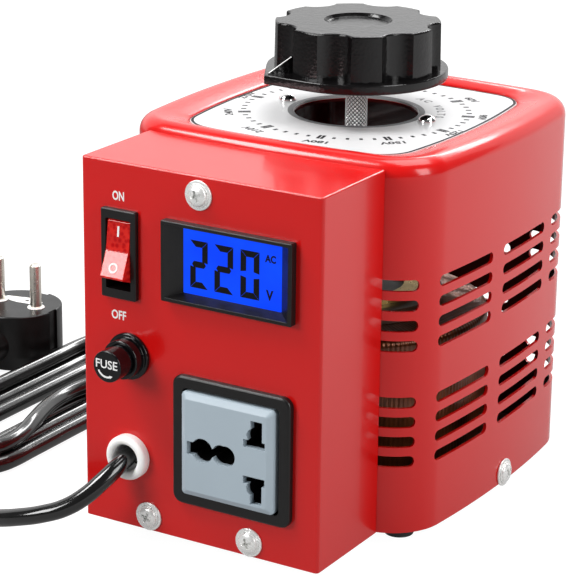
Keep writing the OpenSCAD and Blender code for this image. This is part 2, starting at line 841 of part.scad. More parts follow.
base_plate();
rubber_feet();
foot_screws();
foot_nuts();
housing_cover();
housing_screws();
control_box();
box_screws();
panel_bracket();
dial_plate();
dial_screws();
dial_nuts();
core();
core_caps();
winding();
coil_base();
coil_clamp();
clamp_bolts();
clamp_nuts();
lower_bush();
upper_bush();
slip_ring();
stop_post();
shaft();
shaft_collar();
thrust_washer();
arm_hub();
brush_arm();
arm_screws();
brush_holder();
carbon_brush();
brush_spring();
collector_brush();
stop_pin();
knob();
knob_set_screw();
meter_bezel();
meter_display();
meter_board();
switch_body();
rocker();
switch_terminals();
socket_frame();
socket_insert();
socket_back();
socket_contacts();
fuse_holder();
fuse_nut();
fuse_cap();
fuse_link();
cord_bushing();
terminal_block();
lead_wires();
power_cord();
cord_hank();
cord_tail();
plug_body();
plug_pins();
plug_earth_clips();
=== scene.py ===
"""Looks of a bench variable autotransformer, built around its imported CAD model.

Shapes are written in millimetres in the model's own frame: +Z up, the control panel facing -Y.
make_piece() turns them into metres.
"""

from math import acos, atan2, cos, degrees, hypot, pi, radians, sin, sqrt, tan

import bmesh
import bpy
from mathutils import Matrix, Vector


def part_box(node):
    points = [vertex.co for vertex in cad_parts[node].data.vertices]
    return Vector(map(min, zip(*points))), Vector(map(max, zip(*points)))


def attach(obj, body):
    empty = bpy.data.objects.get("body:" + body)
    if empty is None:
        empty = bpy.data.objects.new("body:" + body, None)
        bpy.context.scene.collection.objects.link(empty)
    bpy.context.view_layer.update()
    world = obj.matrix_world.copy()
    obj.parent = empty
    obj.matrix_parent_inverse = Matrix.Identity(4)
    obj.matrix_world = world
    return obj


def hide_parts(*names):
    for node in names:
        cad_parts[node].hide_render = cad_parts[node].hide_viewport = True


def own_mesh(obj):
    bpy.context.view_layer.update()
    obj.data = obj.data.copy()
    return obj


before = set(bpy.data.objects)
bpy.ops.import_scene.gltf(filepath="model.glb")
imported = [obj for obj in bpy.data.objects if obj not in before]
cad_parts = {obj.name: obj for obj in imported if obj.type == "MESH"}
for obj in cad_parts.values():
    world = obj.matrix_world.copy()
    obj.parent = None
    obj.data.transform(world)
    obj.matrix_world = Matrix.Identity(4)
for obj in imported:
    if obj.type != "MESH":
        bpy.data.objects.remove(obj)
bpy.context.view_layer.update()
MM = 0.001
MERGE = 1e-4  # points nearer than this become one

# ---------- places, from the frame ----------


def span(node):
    """Lowest and highest corners of a CAD node, in millimetres."""
    low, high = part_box(node)
    return low / MM, high / MM


def middle(node):
    """Middle of a CAD node, in millimetres."""
    low, high = span(node)
    return (low + high) / 2


COVER_LOW, COVER_HIGH = span("housing_cover")
BOX_LOW, BOX_HIGH = span("control_box")
PLATE_LOW, PLATE_HIGH = span("dial_plate")
KNOB_LOW, KNOB_HIGH = span("knob")
METER = middle("meter_display")
SWITCH = middle("switch_body")
SOCKET = middle("socket_frame")
FUSE = middle("fuse_cap")
BUSHING = middle("cord_bushing")
AXIS_Y = (COVER_LOW.y + COVER_HIGH.y) / 2
PANEL_Y = BOX_LOW.y
SHEET = 1.2
PANEL_SCREWS = ((-1, 129.5, 20), (-21.3, 11.2, 65), (19.3, 11.2, 110))  # x, z, turn
SIDE_SCREW_YZ = (28, 10)
DIAL_SCREW_R = 28.8
REST_DEG = -122
ZERO_DEG = 120
TRAVEL_DEG = 330
KNURL_LOW = 125.0
KNURLS = 8
KNURL_RATE = 2.1

# ---------- mesh helpers ----------


def add_object(name, data):
    made = bpy.data.objects.new(name, data)
    bpy.context.scene.collection.objects.link(made)
    return made


def add_camera(place, azimuth, elevation, roll, lens):
    """Camera at a place in millimetres, looking along azimuth from +Y and down by elevation."""
    data = bpy.data.cameras.new("camera")
    data.lens = lens
    data.sensor_width = 36
    camera = add_object("camera", data)
    turn = spin(azimuth) @ spin(90 - elevation, "X") @ spin(roll)
    camera.matrix_world = Matrix.Translation(Vector(place) * MM) @ turn
    bpy.context.scene.camera = camera


def polar(angle, radius=1.0):
    return Vector((radius * cos(angle), radius * sin(angle)))


def quarter(steps):
    """Angles from 0 to a quarter turn."""
    return [pi / 2 * k / steps for k in range(steps + 1)]


def around(steps):
    """Angles of a whole turn, without its end."""
    return [2 * pi * k / steps for k in range(steps)]


def fillet(corners, steps=5):
    """Closed outline through corners (x, y, radius), each rounded by a tangent arc."""
    points = []
    for i, (x, y, radius) in enumerate(corners):
        here = Vector((x, y))
        if radius <= 0:
            points.append(here)
            continue
        to_last = (Vector(corners[i - 1][:2]) - here).normalized()
        to_next = (Vector(corners[(i + 1) % len(corners)][:2]) - here).normalized()
        half = to_last.angle(to_next) / 2
        centre = here + (to_last + to_next).normalized() * (radius / sin(half))
        first = here + to_last * (radius / tan(half)) - centre
        last = here + to_next * (radius / tan(half)) - centre
        start = atan2(first.y, first.x)
        sweep = (atan2(last.y, last.x) - start + pi) % (2 * pi) - pi
        points += [centre + radius * polar(start + sweep * k / steps) for k in range(steps + 1)]
    return points


def rectangle(width, height, radius=0.0, steps=5, centre=(0, 0)):
    """Outline of a rectangle with rounded corners, counter-clockwise."""
    x, y = width / 2, height / 2
    corners = [(-x, -y, radius), (x, -y, radius), (x, y, radius), (-x, y, radius)]
    return [p + Vector(centre) for p in fillet(corners, steps)]


def circle(radius, steps=64, centre=(0, 0)):
    """Outline of a circle, counter-clockwise."""
    return [Vector((centre[0] + radius * cos(a), centre[1] + radius * sin(a))) for a in around(steps)]


def lifted(outline, z):
    return [Vector((p[0], p[1], z)) for p in outline]


def loft(rings, caps=True):
    """Skin through rings of equally many 3-D points; without caps the last ring joins the first."""
    bm = bmesh.new()
    verts = [[bm.verts.new(p) for p in ring] for ring in rings]
    count = len(rings[0])
    for i in range(len(rings) - 1 if caps else len(rings)):
        low, high = verts[i], verts[(i + 1) % len(verts)]
        for j in range(count):
            k = (j + 1) % count
            bm.faces.new((low[j], low[k], high[k], high[j]))
    if caps:
        bm.faces.new(verts[0][::-1])
        bm.faces.new(verts[-1])
    bmesh.ops.recalc_face_normals(bm, faces=bm.faces)
    return bm


def slab(outline, low, high, edge=0.0, steps=3):
    """Plate of a convex outline from z low to z high; its top edge is rounded by insetting."""
    if edge <= 0:
        return loft([lifted(outline, low), lifted(outline, high)])
    rings = [lifted(outline, low)]
    normals = outline_normals(outline)
    for angle in quarter(steps):
        inset, z = edge * (1 - cos(angle)), high - edge + edge * sin(angle)
        rings.append(lifted([p - n * inset for p, n in zip(outline, normals)], z))
    return loft(rings)


def disc(radius, low, high, steps=24):
    """Round bar along Z."""
    return slab(circle(radius, steps), low, high)


def outline_normals(outline):
    """Outward normals at the points of a counter-clockwise outline."""
    normals = []
    for i, here in enumerate(outline):
        after = outline[(i + 1) % len(outline)] - here
        before = here - outline[i - 1]
        along = after.normalized() + before.normalized()
        side = Vector((along.y, -along.x)).normalized()
        lean = max(0.5, side.dot(Vector((after.y, -after.x)).normalized()))
        normals.append(side / lean)
    return normals


def lathe(profile, steps=96):
    """Solid of revolution about Z of a closed profile of (radius, z) points."""
    bm = bmesh.new()
    rings = [[bm.verts.new((p[0] * cos(a), p[0] * sin(a), p[1])) for p in profile] for a in around(steps)]
    for i, ring in enumerate(rings):
        after = rings[(i + 1) % steps]
        for j in range(len(profile)):
            k = (j + 1) % len(profile)
            bm.faces.new((ring[j], after[j], after[k], ring[k]))
    bmesh.ops.remove_doubles(bm, verts=bm.verts, dist=MERGE)
    bmesh.ops.recalc_face_normals(bm, faces=bm.faces)
    return bm


def turned(corners, rounding, steps=96):
    """Lathed solid of a profile whose corners (radius, z, rounding radius) are rounded."""
    return lathe(fillet(corners, rounding), steps)


def block(size, centre=(0, 0, 0)):
    """Box of a size about a centre."""
    bm = bmesh.new()
    bmesh.ops.create_cube(bm, size=1, matrix=Matrix.Translation(Vector(centre))
                          @ Matrix.Diagonal((*size, 1)))
    return bm


def moved(bm, matrix):
    bm.transform(matrix)
    return bm


def shift(x=0.0, y=0.0, z=0.0):
    return Matrix.Translation((x, y, z))


def spin(deg, axis="Z"):
    return Matrix.Rotation(radians(deg), 4, axis)


def on_panel(x=0.0, z=0.0):
    """Puts a shape drawn in XY, rising along +Z, on the panel, rising out of it."""
    return shift(x, PANEL_Y, z) @ spin(90, "X")


def on_axis(deg=0.0, z=0.0):
    """Puts a shape on the knob's axis, its +X turned to an angle."""
    return shift(0, AXIS_Y, z) @ spin(deg)


def joined(parts):
    """One mesh of several; the others are used up."""
    whole = bmesh.new()
    for part in parts:
        mesh = bpy.data.meshes.new("part")
        part.to_mesh(mesh)
        part.free()
        whole.from_mesh(mesh)
        bpy.data.meshes.remove(mesh)
    return whole


def as_object(bm, name="work"):
    mesh = bpy.data.meshes.new(name)
    bm.to_mesh(mesh)
    bm.free()
    return add_object(name, mesh)


def evaluated(made):
    """Mesh of an object with its modifiers applied, as a bmesh."""
    bpy.context.view_layer.update()
    mesh = bpy.data.meshes.new_from_object(made.evaluated_get(bpy.context.evaluated_depsgraph_get()))
    bm = bmesh.new()
    bm.from_mesh(mesh)
    bpy.data.meshes.remove(mesh)
    return bm


def combined(base, others, operation="DIFFERENCE"):
    """Result of base with each other mesh taken away, or joined on."""
    base = as_object(base)
    tools = [as_object(other) for other in others]
    for tool in tools:
        modifier = base.modifiers.new("combine", "BOOLEAN")
        modifier.operation = operation
        modifier.solver = "MANIFOLD"
        modifier.object = tool
    bm = evaluated(base)
    for used in [base] + tools:
        mesh = used.data
        bpy.data.objects.remove(used)
        bpy.data.meshes.remove(mesh)
    bmesh.ops.remove_doubles(bm, verts=bm.verts, dist=MERGE)
    return bm


def soften(bm, width, angle=50.0):
    """Rounds the edges sharper than an angle."""
    edges = [e for e in bm.edges if len(e.link_faces) == 2 and e.calc_face_angle(0) > radians(angle)]
    bmesh.ops.bevel(bm, geom=edges, offset=width, segments=2, profile=0.5,
                    affect="EDGES", clamp_overlap=True)


CAPITAL = 0.73  # height of a capital as a share of the font's size


def make_piece(name, bm, look, stands_for=None, body="root", sharp=32.0):
    """Turns a mesh in millimetres into a piece that rides on a body of the frame."""
    bmesh.ops.scale(bm, vec=(MM, MM, MM), verts=bm.verts)
    piece = as_object(bm, name)
    piece.data.shade_smooth()
    piece.data.set_sharp_from_angle(angle=radians(sharp))
    piece.data.materials.append(look.material)
    flats = piece.modifiers.new("flat_faces", "WEIGHTED_NORMAL")
    flats.keep_sharp = True
    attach(piece, body)
    if stands_for:
        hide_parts(stands_for)
    return piece


def lettering(text, height, depth, bold=0.012, narrow=1.0):
    """Text as a thin solid about its middle, its capitals of the given height, facing +Z."""
    data = bpy.data.curves.new("letters", "FONT")
    data.body = text
    data.offset = bold
    data.extrude = 0.5
    data.resolution_u = 3
    made = add_object("letters", data)
    bm = evaluated(made)
    bpy.data.objects.remove(made)
    bpy.data.curves.remove(data)
    low = Vector([min(v.co[i] for v in bm.verts) for i in range(3)])
    high = Vector([max(v.co[i] for v in bm.verts) for i in range(3)])
    size = height / CAPITAL
    return moved(bm, Matrix.Diagonal((size * narrow, size, depth, 1)) @ shift(*(-(low + high) / 2)))


add_camera((408.1, -705.1, 345.2), azimuth=30.81, elevation=18.25, roll=0.74, lens=149.6)

# ---------- materials ----------


class Look:
    """A node material under construction: a shader and short ways to add detail to it."""

    def __init__(self, name, colour, roughness=0.4, metallic=0.0, **sockets):
        self.name = name
        self.material = bpy.data.materials.new(name)
        self.material.use_nodes = True
        self.tree = self.material.node_tree
        self.shader = self.tree.nodes["Principled BSDF"]
        self.set("Base Color", (*colour, 1))
        self.set("Roughness", roughness)
        self.set("Metallic", metallic)
        for socket, value in sockets.items():
            self.set(socket.replace("_", " "), value)
        self.relief = None

    def set(self, socket, value):
        names = {s.name.lower(): s for s in self.shader.inputs}
        names[socket.lower()].default_value = value

    def node(self, kind, **values):
        made = self.tree.nodes.new(kind)
        for key, value in values.items():
            setattr(made, key, value)
        return made

    def link(self, source, target):
        self.tree.links.new(source, target)

    def place(self, stretch=(1, 1, 1)):
        """Object coordinates in metres, stretched."""
        coords = self.node("ShaderNodeTexCoord")
        mapping = self.node("ShaderNodeMapping")
        mapping.inputs["Scale"].default_value = stretch
        self.link(coords.outputs["Object"], mapping.inputs["Vector"])
        return mapping.outputs["Vector"]

    def split(self, vector):
        """X, Y and Z of a vector."""
        made = self.node("ShaderNodeSeparateXYZ")
        self.link(vector, made.inputs[0])
        return made.outputs

    def noise(self, scale, detail, rough=0.5, stretch=(1, 1, 1)):
        made = self.node("ShaderNodeTexNoise")
        for socket, value in (("Scale", scale), ("Detail", detail), ("Roughness", rough)):
            made.inputs[socket].default_value = value
        self.link(self.place(stretch), made.inputs["Vector"])
        return made.outputs["Fac"]

    def cells(self, scale, stretch=(1, 1, 1)):
        made = self.node("ShaderNodeTexVoronoi")
        made.inputs["Scale"].default_value = scale
        self.link(self.place(stretch), made.inputs["Vector"])
        return made.outputs["Distance"]

    def pattern(self, scale, *detail):
        """Noise of a scale, detail and roughness; a scale alone gives cells."""
        return self.noise(scale, *detail) if detail else self.cells(scale)

    def inside(self):
        """1 on faces under the dial plate's seat that look towards the knob's axis or down, else 0; it marks
        where painted shade goes inside the housing and on the slots' walls.
        """
        place = self.place()
        normal = self.node("ShaderNodeNewGeometry").outputs["Normal"]
        outward = self.vector("SUBTRACT", place, (0, AXIS_Y * MM, 0)).outputs["Vector"]
        flat = self.vector("MULTIPLY", outward, (1, 1, 0)).outputs["Vector"]
        lean = self.vector("DOT_PRODUCT", flat, normal).outputs["Value"]
        towards = self.math("LESS_THAN", lean, -0.012)
        down = self.math("LESS_THAN", self.split(normal)["Z"], -0.6)
        under = self.math("LESS_THAN", self.split(place)["Z"], (PLATE_LOW.z - 0.2) * MM)
        return self.math("MULTIPLY", self.math("MAXIMUM", towards, down), under)

    def map(self, value, low, high, to_low, to_high):
        made = self.node("ShaderNodeMapRange")
        for socket, number in zip(("From Min", "From Max", "To Min", "To Max"),
                                  (low, high, to_low, to_high)):
            made.inputs[socket].default_value = number
        self.link(value, made.inputs["Value"])
        return made.outputs["Result"]

    def calculated(self, kind, operation, *values):
        made = self.node(kind, operation=operation)
        for socket, value in zip(made.inputs, values):
            if isinstance(value, (int, float, tuple)):
                socket.default_value = value
            else:
                self.link(value, socket)
        return made

    def vector(self, operation, a, b):
        return self.calculated("ShaderNodeVectorMath", operation, a, b)

    def math(self, operation, a, b=0.0):
        return self.calculated("ShaderNodeMath", operation, a, b).outputs["Value"]

    def tint(self, fac, colour, socket="Base Color"):
        """Mixes another colour over what the shader's colour socket has, by fac."""
        made = self.node("ShaderNodeMix", data_type="RGBA")
        first, second = made.inputs[6], made.inputs[7]
        target = self.shader.inputs[socket]
        if target.links:
            self.link(target.links[0].from_socket, first)
        else:
            first.default_value = target.default_value
        second.default_value = (*colour, 1)
        self.link(fac, made.inputs[0])
        self.link(made.outputs[2], target)

    def rough(self, fac, low, high):
        self.link(self.map(fac, 0, 1, low, high), self.shader.inputs["Roughness"])

    def bump(self, height, depth_mm, strength):
        """Adds relief of a depth in millimetres over the last one."""
        made = self.node("ShaderNodeBump")
        made.inputs["Strength"].default_value = strength
        made.inputs["Distance"].default_value = depth_mm * MM
        self.link(height, made.inputs["Height"])
        if self.relief:
            self.link(self.relief, made.inputs["Normal"])
        self.relief = made.outputs["Normal"]
        self.link(self.relief, self.shader.inputs["Normal"])


def finish(name, colour, roughness, metallic=0.0, tints=(), rough=None, bumps=(), **sockets):
    """Look whose colour, roughness and relief vary by patterns.

    tints: (pattern, from, to, amount, colour). rough: (pattern, low, high).
    bumps: (pattern, depth in millimetres, strength).
    """
    look = Look(name, colour, roughness, metallic, **sockets)
    for pattern, low, high, amount, other in tints:
        look.tint(look.map(look.pattern(*pattern), low, high, 0, amount), other)
    if rough:
        look.rough(look.pattern(*rough[0]), *rough[1:])
    for pattern, depth, strength in bumps:
        look.bump(look.pattern(*pattern), depth, strength)
    return look


def scaled(colour, share):
    return tuple(share * c for c in colour)


def red_paint():
    look = finish("red_paint", (0.57, 0.0045, 0.004), 0.22, 0,
                  [((14, 2), 0.4, 0.7, 0.5, (0.53, 0.004, 0.0035)),
                   ((1100, 2, 0.6), 0.72, 0.84, 0.10, (0.75, 0.16, 0.13))],
                  ((60, 4), 0.17, 0.28), [((260, 1, 0.3), 0.012, 0.12)],
                  specular_ior_level=0.34, coat_weight=0.30, coat_roughness=0.06)
    # painted shade: the housing's inner faces and the slots' walls are tinted dark red where they face the
    # axis or look down
    look.tint(look.inside(), (0.055, 0.002, 0.002))
    return look


def black_plastic(name, roughness, grain, colour):
    return finish(name, colour, roughness, 0, [((160, 4), 0.4, 0.8, 0.5, scaled(colour, 2.1))],
                  ((230, 3), roughness * 0.8, roughness * 1.25), [((2400, 2, 0.6), grain, 0.6)],
                  specular_ior_level=0.38)


def knurled_steel():
    """Steel whose knurl's grooves, about the knob's axis, are painted dark: painted shade in the grooves."""
    look = finish("shaft_steel", (0.97, 0.97, 0.97), 0.22, 0.15,
                  [((300, 3), 0.45, 0.8, 0.5, (0.88, 0.88, 0.88))])
    x, y, z = look.split(look.place())
    turn = look.math("MULTIPLY", look.math("ARCTAN2", look.math("SUBTRACT", y, AXIS_Y * MM), x), KNURLS)
    rise = look.math("MULTIPLY", z, KNURL_RATE / MM)
    left, right = (look.math("ABSOLUTE", look.math("SINE", look.math(way, turn, rise)))
                   for way in ("ADD", "SUBTRACT"))
    painted_groove_shade = look.map(look.math("MINIMUM", left, right), 0.30, 0.48, 1, 0)
    knurled = look.math("GREATER_THAN", z, KNURL_LOW * MM)
    # painted shade: the knurl's grooves are darkened in the colour above the knurl's low end
    look.tint(look.math("MULTIPLY", painted_groove_shade, knurled), (0.004, 0.004, 0.004))
    look.rough(look.noise(500, 3, stretch=(1, 1, 6)), 0.15, 0.32)
    look.bump(look.noise(900, 2, stretch=(1, 1, 8)), 0.012, 0.4)
    return look


def ink(name, colour):
    return finish(name, colour, 0.5, 0,
                  [((1500, 3), 0.5, 0.9, 0.5, tuple(min(1, c) for c in scaled(colour, 1.6)))],
                  ((800, 2), 0.4, 0.62), specular_ior_level=0.15)


def rocker_plastic():
    look = Look("rocker_red", (0.50, 0.003, 0.005), 0.09, transmission_weight=0.30, ior=1.49,
                emission_color=(0.9, 0.02, 0.01, 1), emission_strength=0.04)
    prisms = look.cells(620, stretch=(1, 0.4, 1))
    look.tint(look.map(prisms, 0.25, 0.6, 0, 0.8), (0.85, 0.03, 0.02))
    look.tint(look.map(look.noise(120, 3), 0.5, 0.8, 0, 0.5), (0.40, 0.0, 0.005))
    look.bump(prisms, 0.05, 0.15)
    return look


def display_light():
    look = finish("display_blue", (0.0, 0.004, 0.05), 0.4, rough=((300, 2), 0.35, 0.45),
                  specular_ior_level=0.15, emission_color=(0.0, 0.052, 1.0, 1), emission_strength=1.0)
    look.tint(look.map(look.noise(70, 2), 0.35, 0.75, 0, 1), (0.001, 0.075, 1.0), "Emission Color")
    return look


def brass(name="brass", colour=(0.70, 0.48, 0.17)):
    return finish(name, colour, 0.28, 1.0, [((180, 4), 0.45, 0.8, 0.6, scaled(colour, 0.55))],
                  ((400, 3), 0.18, 0.42), [((1500, 2), 0.008, 0.4)])


def plain(name, colour, roughness, metallic=0.0, spread=0.6):
    """Matt or satin finish with mottled colour and a fine grain."""
    return finish(name, colour, roughness, metallic, [((220, 4), 0.4, 0.8, 0.7, scaled(colour, spread))],
                  ((350, 3), roughness * 0.8, roughness * 1.2), [((1200, 3), 0.03, 0.5)])


RED = red_paint()
SATIN = black_plastic("black_satin", 0.34, 0.02, (0.0045, 0.004, 0.004))
GLOSS = black_plastic("black_gloss", 0.10, 0.008, (0.003, 0.003, 0.0035))
KNOB = finish("knob_black", (0.003, 0.0026, 0.0028), 0.15, 0,
              [((120, 5), 0.45, 0.8, 0.6, (0.008, 0.0075, 0.008))],
              ((300, 3), 0.10, 0.24), [((900,), 0.07, 0.6), ((2600, 2), 0.02, 0.4)],
              specular_ior_level=0.36)
ZINC = finish("zinc", (0.90, 0.90, 0.88), 0.22, 0.5,
              [((240, 3), 0.4, 0.75, 0.5, (0.78, 0.80, 0.81)),
               ((700, 4), 0.62, 0.8, 0.5, (0.48, 0.46, 0.42))],
              ((500, 3), 0.16, 0.38), [((1600, 3), 0.012, 0.5)])
STEEL_SHEET = finish("zinc_plate", (0.60, 0.60, 0.58), 0.36, 1.0,
                     [((90,), 0.1, 0.5, 0.4, (0.48, 0.49, 0.50))],
                     ((80, 4), 0.28, 0.50), [((900, 3), 0.01, 0.4)])
CHROME = finish("bright_chrome", (0.86, 0.86, 0.86), 0.06, 1.0,
                rough=((400, 3), 0.04, 0.13), bumps=[((1200, 2), 0.004, 0.3)])
SHAFT = knurled_steel()
WHITE = finish("dial_white", (0.62, 0.62, 0.625), 0.33, 0, [((40, 4), 0.45, 0.8, 0.4, (0.57, 0.57, 0.57))],
               ((110, 4), 0.26, 0.42), [((1300, 2), 0.006, 0.4)], coat_weight=0.25, coat_roughness=0.15)
BLACK_INK = ink("black_ink", (0.003, 0.003, 0.005))
GREY_INK = ink("grey_ink", (0.20, 0.20, 0.205))
WHITE_INK = ink("white_ink", (0.80, 0.80, 0.79))
NYLON = finish("white_nylon", (0.96, 0.955, 0.94), 0.30, 0,
               [((200, 4), 0.45, 0.8, 0.5, (0.88, 0.865, 0.83))],
               ((260, 3), 0.30, 0.5), [((1500, 2), 0.01, 0.4)],
               subsurface_weight=0.10, subsurface_radius=(0.002, 0.0016, 0.0012))
INSERT = finish("insert_grey", (0.38, 0.455, 0.51), 0.34, 0,
                [((60, 4), 0.4, 0.8, 0.5, (0.355, 0.425, 0.48))],
                ((240, 3), 0.28, 0.46), [((2200, 2), 0.012, 0.5)], specular_ior_level=0.4)
ROCKER = rocker_plastic()
DISPLAY = display_light()
CORD = finish("cord_pvc", (0.004, 0.004, 0.004), 0.14, 0,
              [((220, 4), 0.5, 0.85, 0.5, (0.010, 0.010, 0.010))], ((160, 4), 0.09, 0.20),
              [((220, 2), 0.05, 0.25), ((1800, 2), 0.01, 0.4)], coat_weight=0.5, coat_roughness=0.05)
COPPER = finish("copper_wire", (0.24, 0.062, 0.018), 0.3, 0.75,
                [((200, 4), 0.4, 0.75, 0.7, (0.10, 0.026, 0.009))],
                ((300, 3), 0.22, 0.45), [((900, 2), 0.02, 0.4)], coat_weight=0.6, coat_roughness=0.15)
BAKELITE = finish("bakelite", (0.055, 0.020, 0.010), 0.35, 0,
                  [((260, 5, 0.7), 0.5, 0.8, 0.7, (0.13, 0.05, 0.022))],
                  ((200, 3), 0.28, 0.5), [((1400, 2), 0.012, 0.4)])
BRASS = brass()
RUBBER = plain("foot_rubber", (0.018, 0.018, 0.018), 0.75, spread=1.6)
FIBRE = plain("fibre", (0.16, 0.085, 0.035), 0.7)
CARBON = plain("carbon", (0.03, 0.03, 0.032), 0.55, spread=1.8)
CORE = plain("core_steel", (0.05, 0.05, 0.053), 0.5, 0.8)
ALUMINIUM = plain("aluminium", (0.42, 0.42, 0.43), 0.35, 1.0, 0.85)
GREEN = plain("board_green", (0.015, 0.13, 0.045), 0.4)
WIRE = plain("wire_blue", (0.02, 0.07, 0.40), 0.35)
GLASS = finish("fuse_glass", (0.9, 0.93, 0.93), 0.05, rough=((300, 2), 0.03, 0.12),
               bumps=[((300, 2), 0.01, 0.2)], transmission_weight=0.9, ior=1.5)
PLUG = black_plastic("plug_black", 0.30, 0.03, (0.006, 0.006, 0.006))
NICKEL = brass("pin_nickel", (0.80, 0.76, 0.68))

# ---------- outlines that the housing and the dial plate share ----------

SIDE_STEPS, CORNER_STEPS = 22, 18


def bowed_arcs(width, depth, corner_r, side_r):
    """Arcs (centre, radius, start, end) of a rounded square whose sides bow out."""
    hx, hy = width / 2, depth / 2
    a, b = side_r - hx, side_r - hy
    reach = hypot(a, b)
    height = sqrt((side_r - corner_r) ** 2 - reach * reach / 4)
    cx, cy = -a / 2 + b * height / reach, -b / 2 + a * height / reach
    low = atan2(cy, cx - hx + side_r)
    high = atan2(cy - hy + side_r, cx)
    return [((hx - side_r, 0), side_r, -low, low), ((cx, cy), corner_r, low, high),
            ((0, hy - side_r), side_r, high, pi - high), ((-cx, cy), corner_r, pi - high, pi - low),
            ((side_r - hx, 0), side_r, pi - low, pi + low),
            ((-cx, -cy), corner_r, pi + low, pi + high),
            ((0, side_r - hy), side_r, pi + high, 2 * pi - high),
            ((cx, -cy), corner_r, 2 * pi - high, 2 * pi - low)]


def bowed_outline(arcs, inset=0.0):
    """Points along the arcs about the knob's axis, moved inwards."""
    points = []
    for index, ((cx, cy), radius, start, end) in enumerate(arcs):
        steps = CORNER_STEPS if index % 2 else SIDE_STEPS
        points += [Vector((cx, AXIS_Y + cy)) + polar(start + (end - start) * k / steps, radius - inset)
                   for k in range(steps)]
    return points


COVER = bowed_arcs(COVER_HIGH.x - COVER_LOW.x, COVER_HIGH.y - COVER_LOW.y, 20, 450)
PLATE = bowed_arcs(PLATE_HIGH.x - PLATE_LOW.x, PLATE_HIGH.y - PLATE_LOW.y, 14, 280)
HOLE_R = 22.4

# ---------- housing ----------

EDGE_R = 6
SEAT_Z = PLATE_LOW.z
CREST_Z = COVER_HIGH.z
SLOT_H, SLOT_PITCH = 4.0, 7.17
SLOT_TOPS = (96.0, 54.2)
SLOT_COLUMNS = [(-64.0, 15.6), (-30.2, 35), (13.0, 35), (55.2, 35), (96.4, 31)]  # middle, length


def around_hole(radius, z):
    """Ring about the axis whose points lie at the same angles as the outline's."""
    turn = [atan2(p.y - AXIS_Y, p.x) for p in bowed_outline(PLATE)]
    return [Vector((radius * cos(a), AXIS_Y + radius * sin(a), z)) for a in turn]


def wall_ring(inset, z):
    return lifted(bowed_outline(COVER, inset), z)


def seat_ring(inset, z):
    return lifted(bowed_outline(PLATE, inset), z)


def between(first, second, share, z):
    return [Vector((*(a.xy.lerp(b.xy, share)), z)) for a, b in zip(first, second)]


def cover_skin():
    """Closed skin: up the outside, over the rolled edge, into the seat, back inside."""
    crest, seat = wall_ring(EDGE_R, CREST_Z), seat_ring(-0.5, SEAT_Z)
    low, inner = COVER_LOW.z, EDGE_R - SHEET
    turn = quarter(8)
    rings = [wall_ring(inset, z) for inset, z in
             ((0.4, low), (0.1, low + 0.12), (0, low + 0.4), (0, 60), (0, 100))]
    rings += [wall_ring(EDGE_R * (1 - cos(a)), CREST_Z - EDGE_R * (1 - sin(a))) for a in turn]
    rings += [between(crest, seat, share, CREST_Z - drop) for share, drop in
              ((0.3, 0.25), (0.6, 0.8), (0.85, 1.45), (0.95, 1.8), (0.99, 2.2))]
    rings += [seat_ring(-0.4, SEAT_Z + 0.25), seat_ring(0.1, SEAT_Z)]
    rings += [around_hole(HOLE_R + 0.3, SEAT_Z), around_hole(HOLE_R, SEAT_Z - 0.3),
              around_hole(HOLE_R, SEAT_Z - SHEET), seat_ring(-1.0, SEAT_Z - SHEET)]
    rings += [between(crest, seat, share, CREST_Z - drop - SHEET)
              for share, drop in ((0.6, 0.8), (0.3, 0.25))]
    rings += [wall_ring(EDGE_R - inner * cos(a), CREST_Z - EDGE_R + inner * sin(a)) for a in turn[::-2]]
    rings.append(wall_ring(SHEET, low + 0.3))
    return loft(rings, caps=False)


def perimeter():
    """Arcs of the wall, each after its distance round from the +X side's middle."""
    stops, travelled = [], 0.0
    for index, (centre, radius, start, end) in enumerate(COVER):
        start = start if index else 0.0
        stops.append((travelled, centre, radius, start))
        travelled += radius * (end - start)
    return stops


STOPS = perimeter()


def wall_point(along):
    """Point on the wall and its outward normal; negative distances run towards the front."""
    flip, distance = (-1 if along < 0 else 1), abs(along)
    travelled, (cx, cy), radius, start = [stop for stop in STOPS if distance >= stop[0]][-1]
    angle = start + (distance - travelled) / radius
    normal = Vector((cos(angle), flip * sin(angle)))
    return Vector((cx, AXIS_Y + flip * cy)) + radius * normal, normal


def slot_cutter(middle_s, length, z):
    """Prism with round ends that follows the wall."""
    radius, half = SLOT_H / 2, length / 2
    places = [half - radius * (1 - cos(a)) for a in quarter(6)]
    places = [-p for p in places] + [half * t / 5 for t in range(-3, 4)] + places
    rings = []
    for offset in sorted(places):
        over = max(0.0, abs(offset) - (half - radius))
        rise = max(0.06, sqrt(max(0.0, radius ** 2 - over ** 2)))
        point, normal = wall_point(middle_s + offset)
        inner, outer = point - normal * 3, point + normal * 1.5
        rings.append([Vector((*inner, z - rise)), Vector((*outer, z - rise)),
                      Vector((*outer, z + rise)), Vector((*inner, z + rise))])
    return loft(rings)


def vent_cutters():
    """Every slot: two groups of four, in columns along the sides, the corners and the rear."""
    cutters = []
    for group_top in SLOT_TOPS:
        for row in range(4):
            for middle_s, length in SLOT_COLUMNS:
                for side in (1, -1):
                    cutter = slot_cutter(middle_s, length, group_top - SLOT_PITCH * row)
                    if side < 0:
                        moved(cutter, Matrix.Diagonal((-1, 1, 1, 1)))
                        bmesh.ops.reverse_faces(cutter, faces=cutter.faces)
                    cutters.append(cutter)
    return joined(cutters)


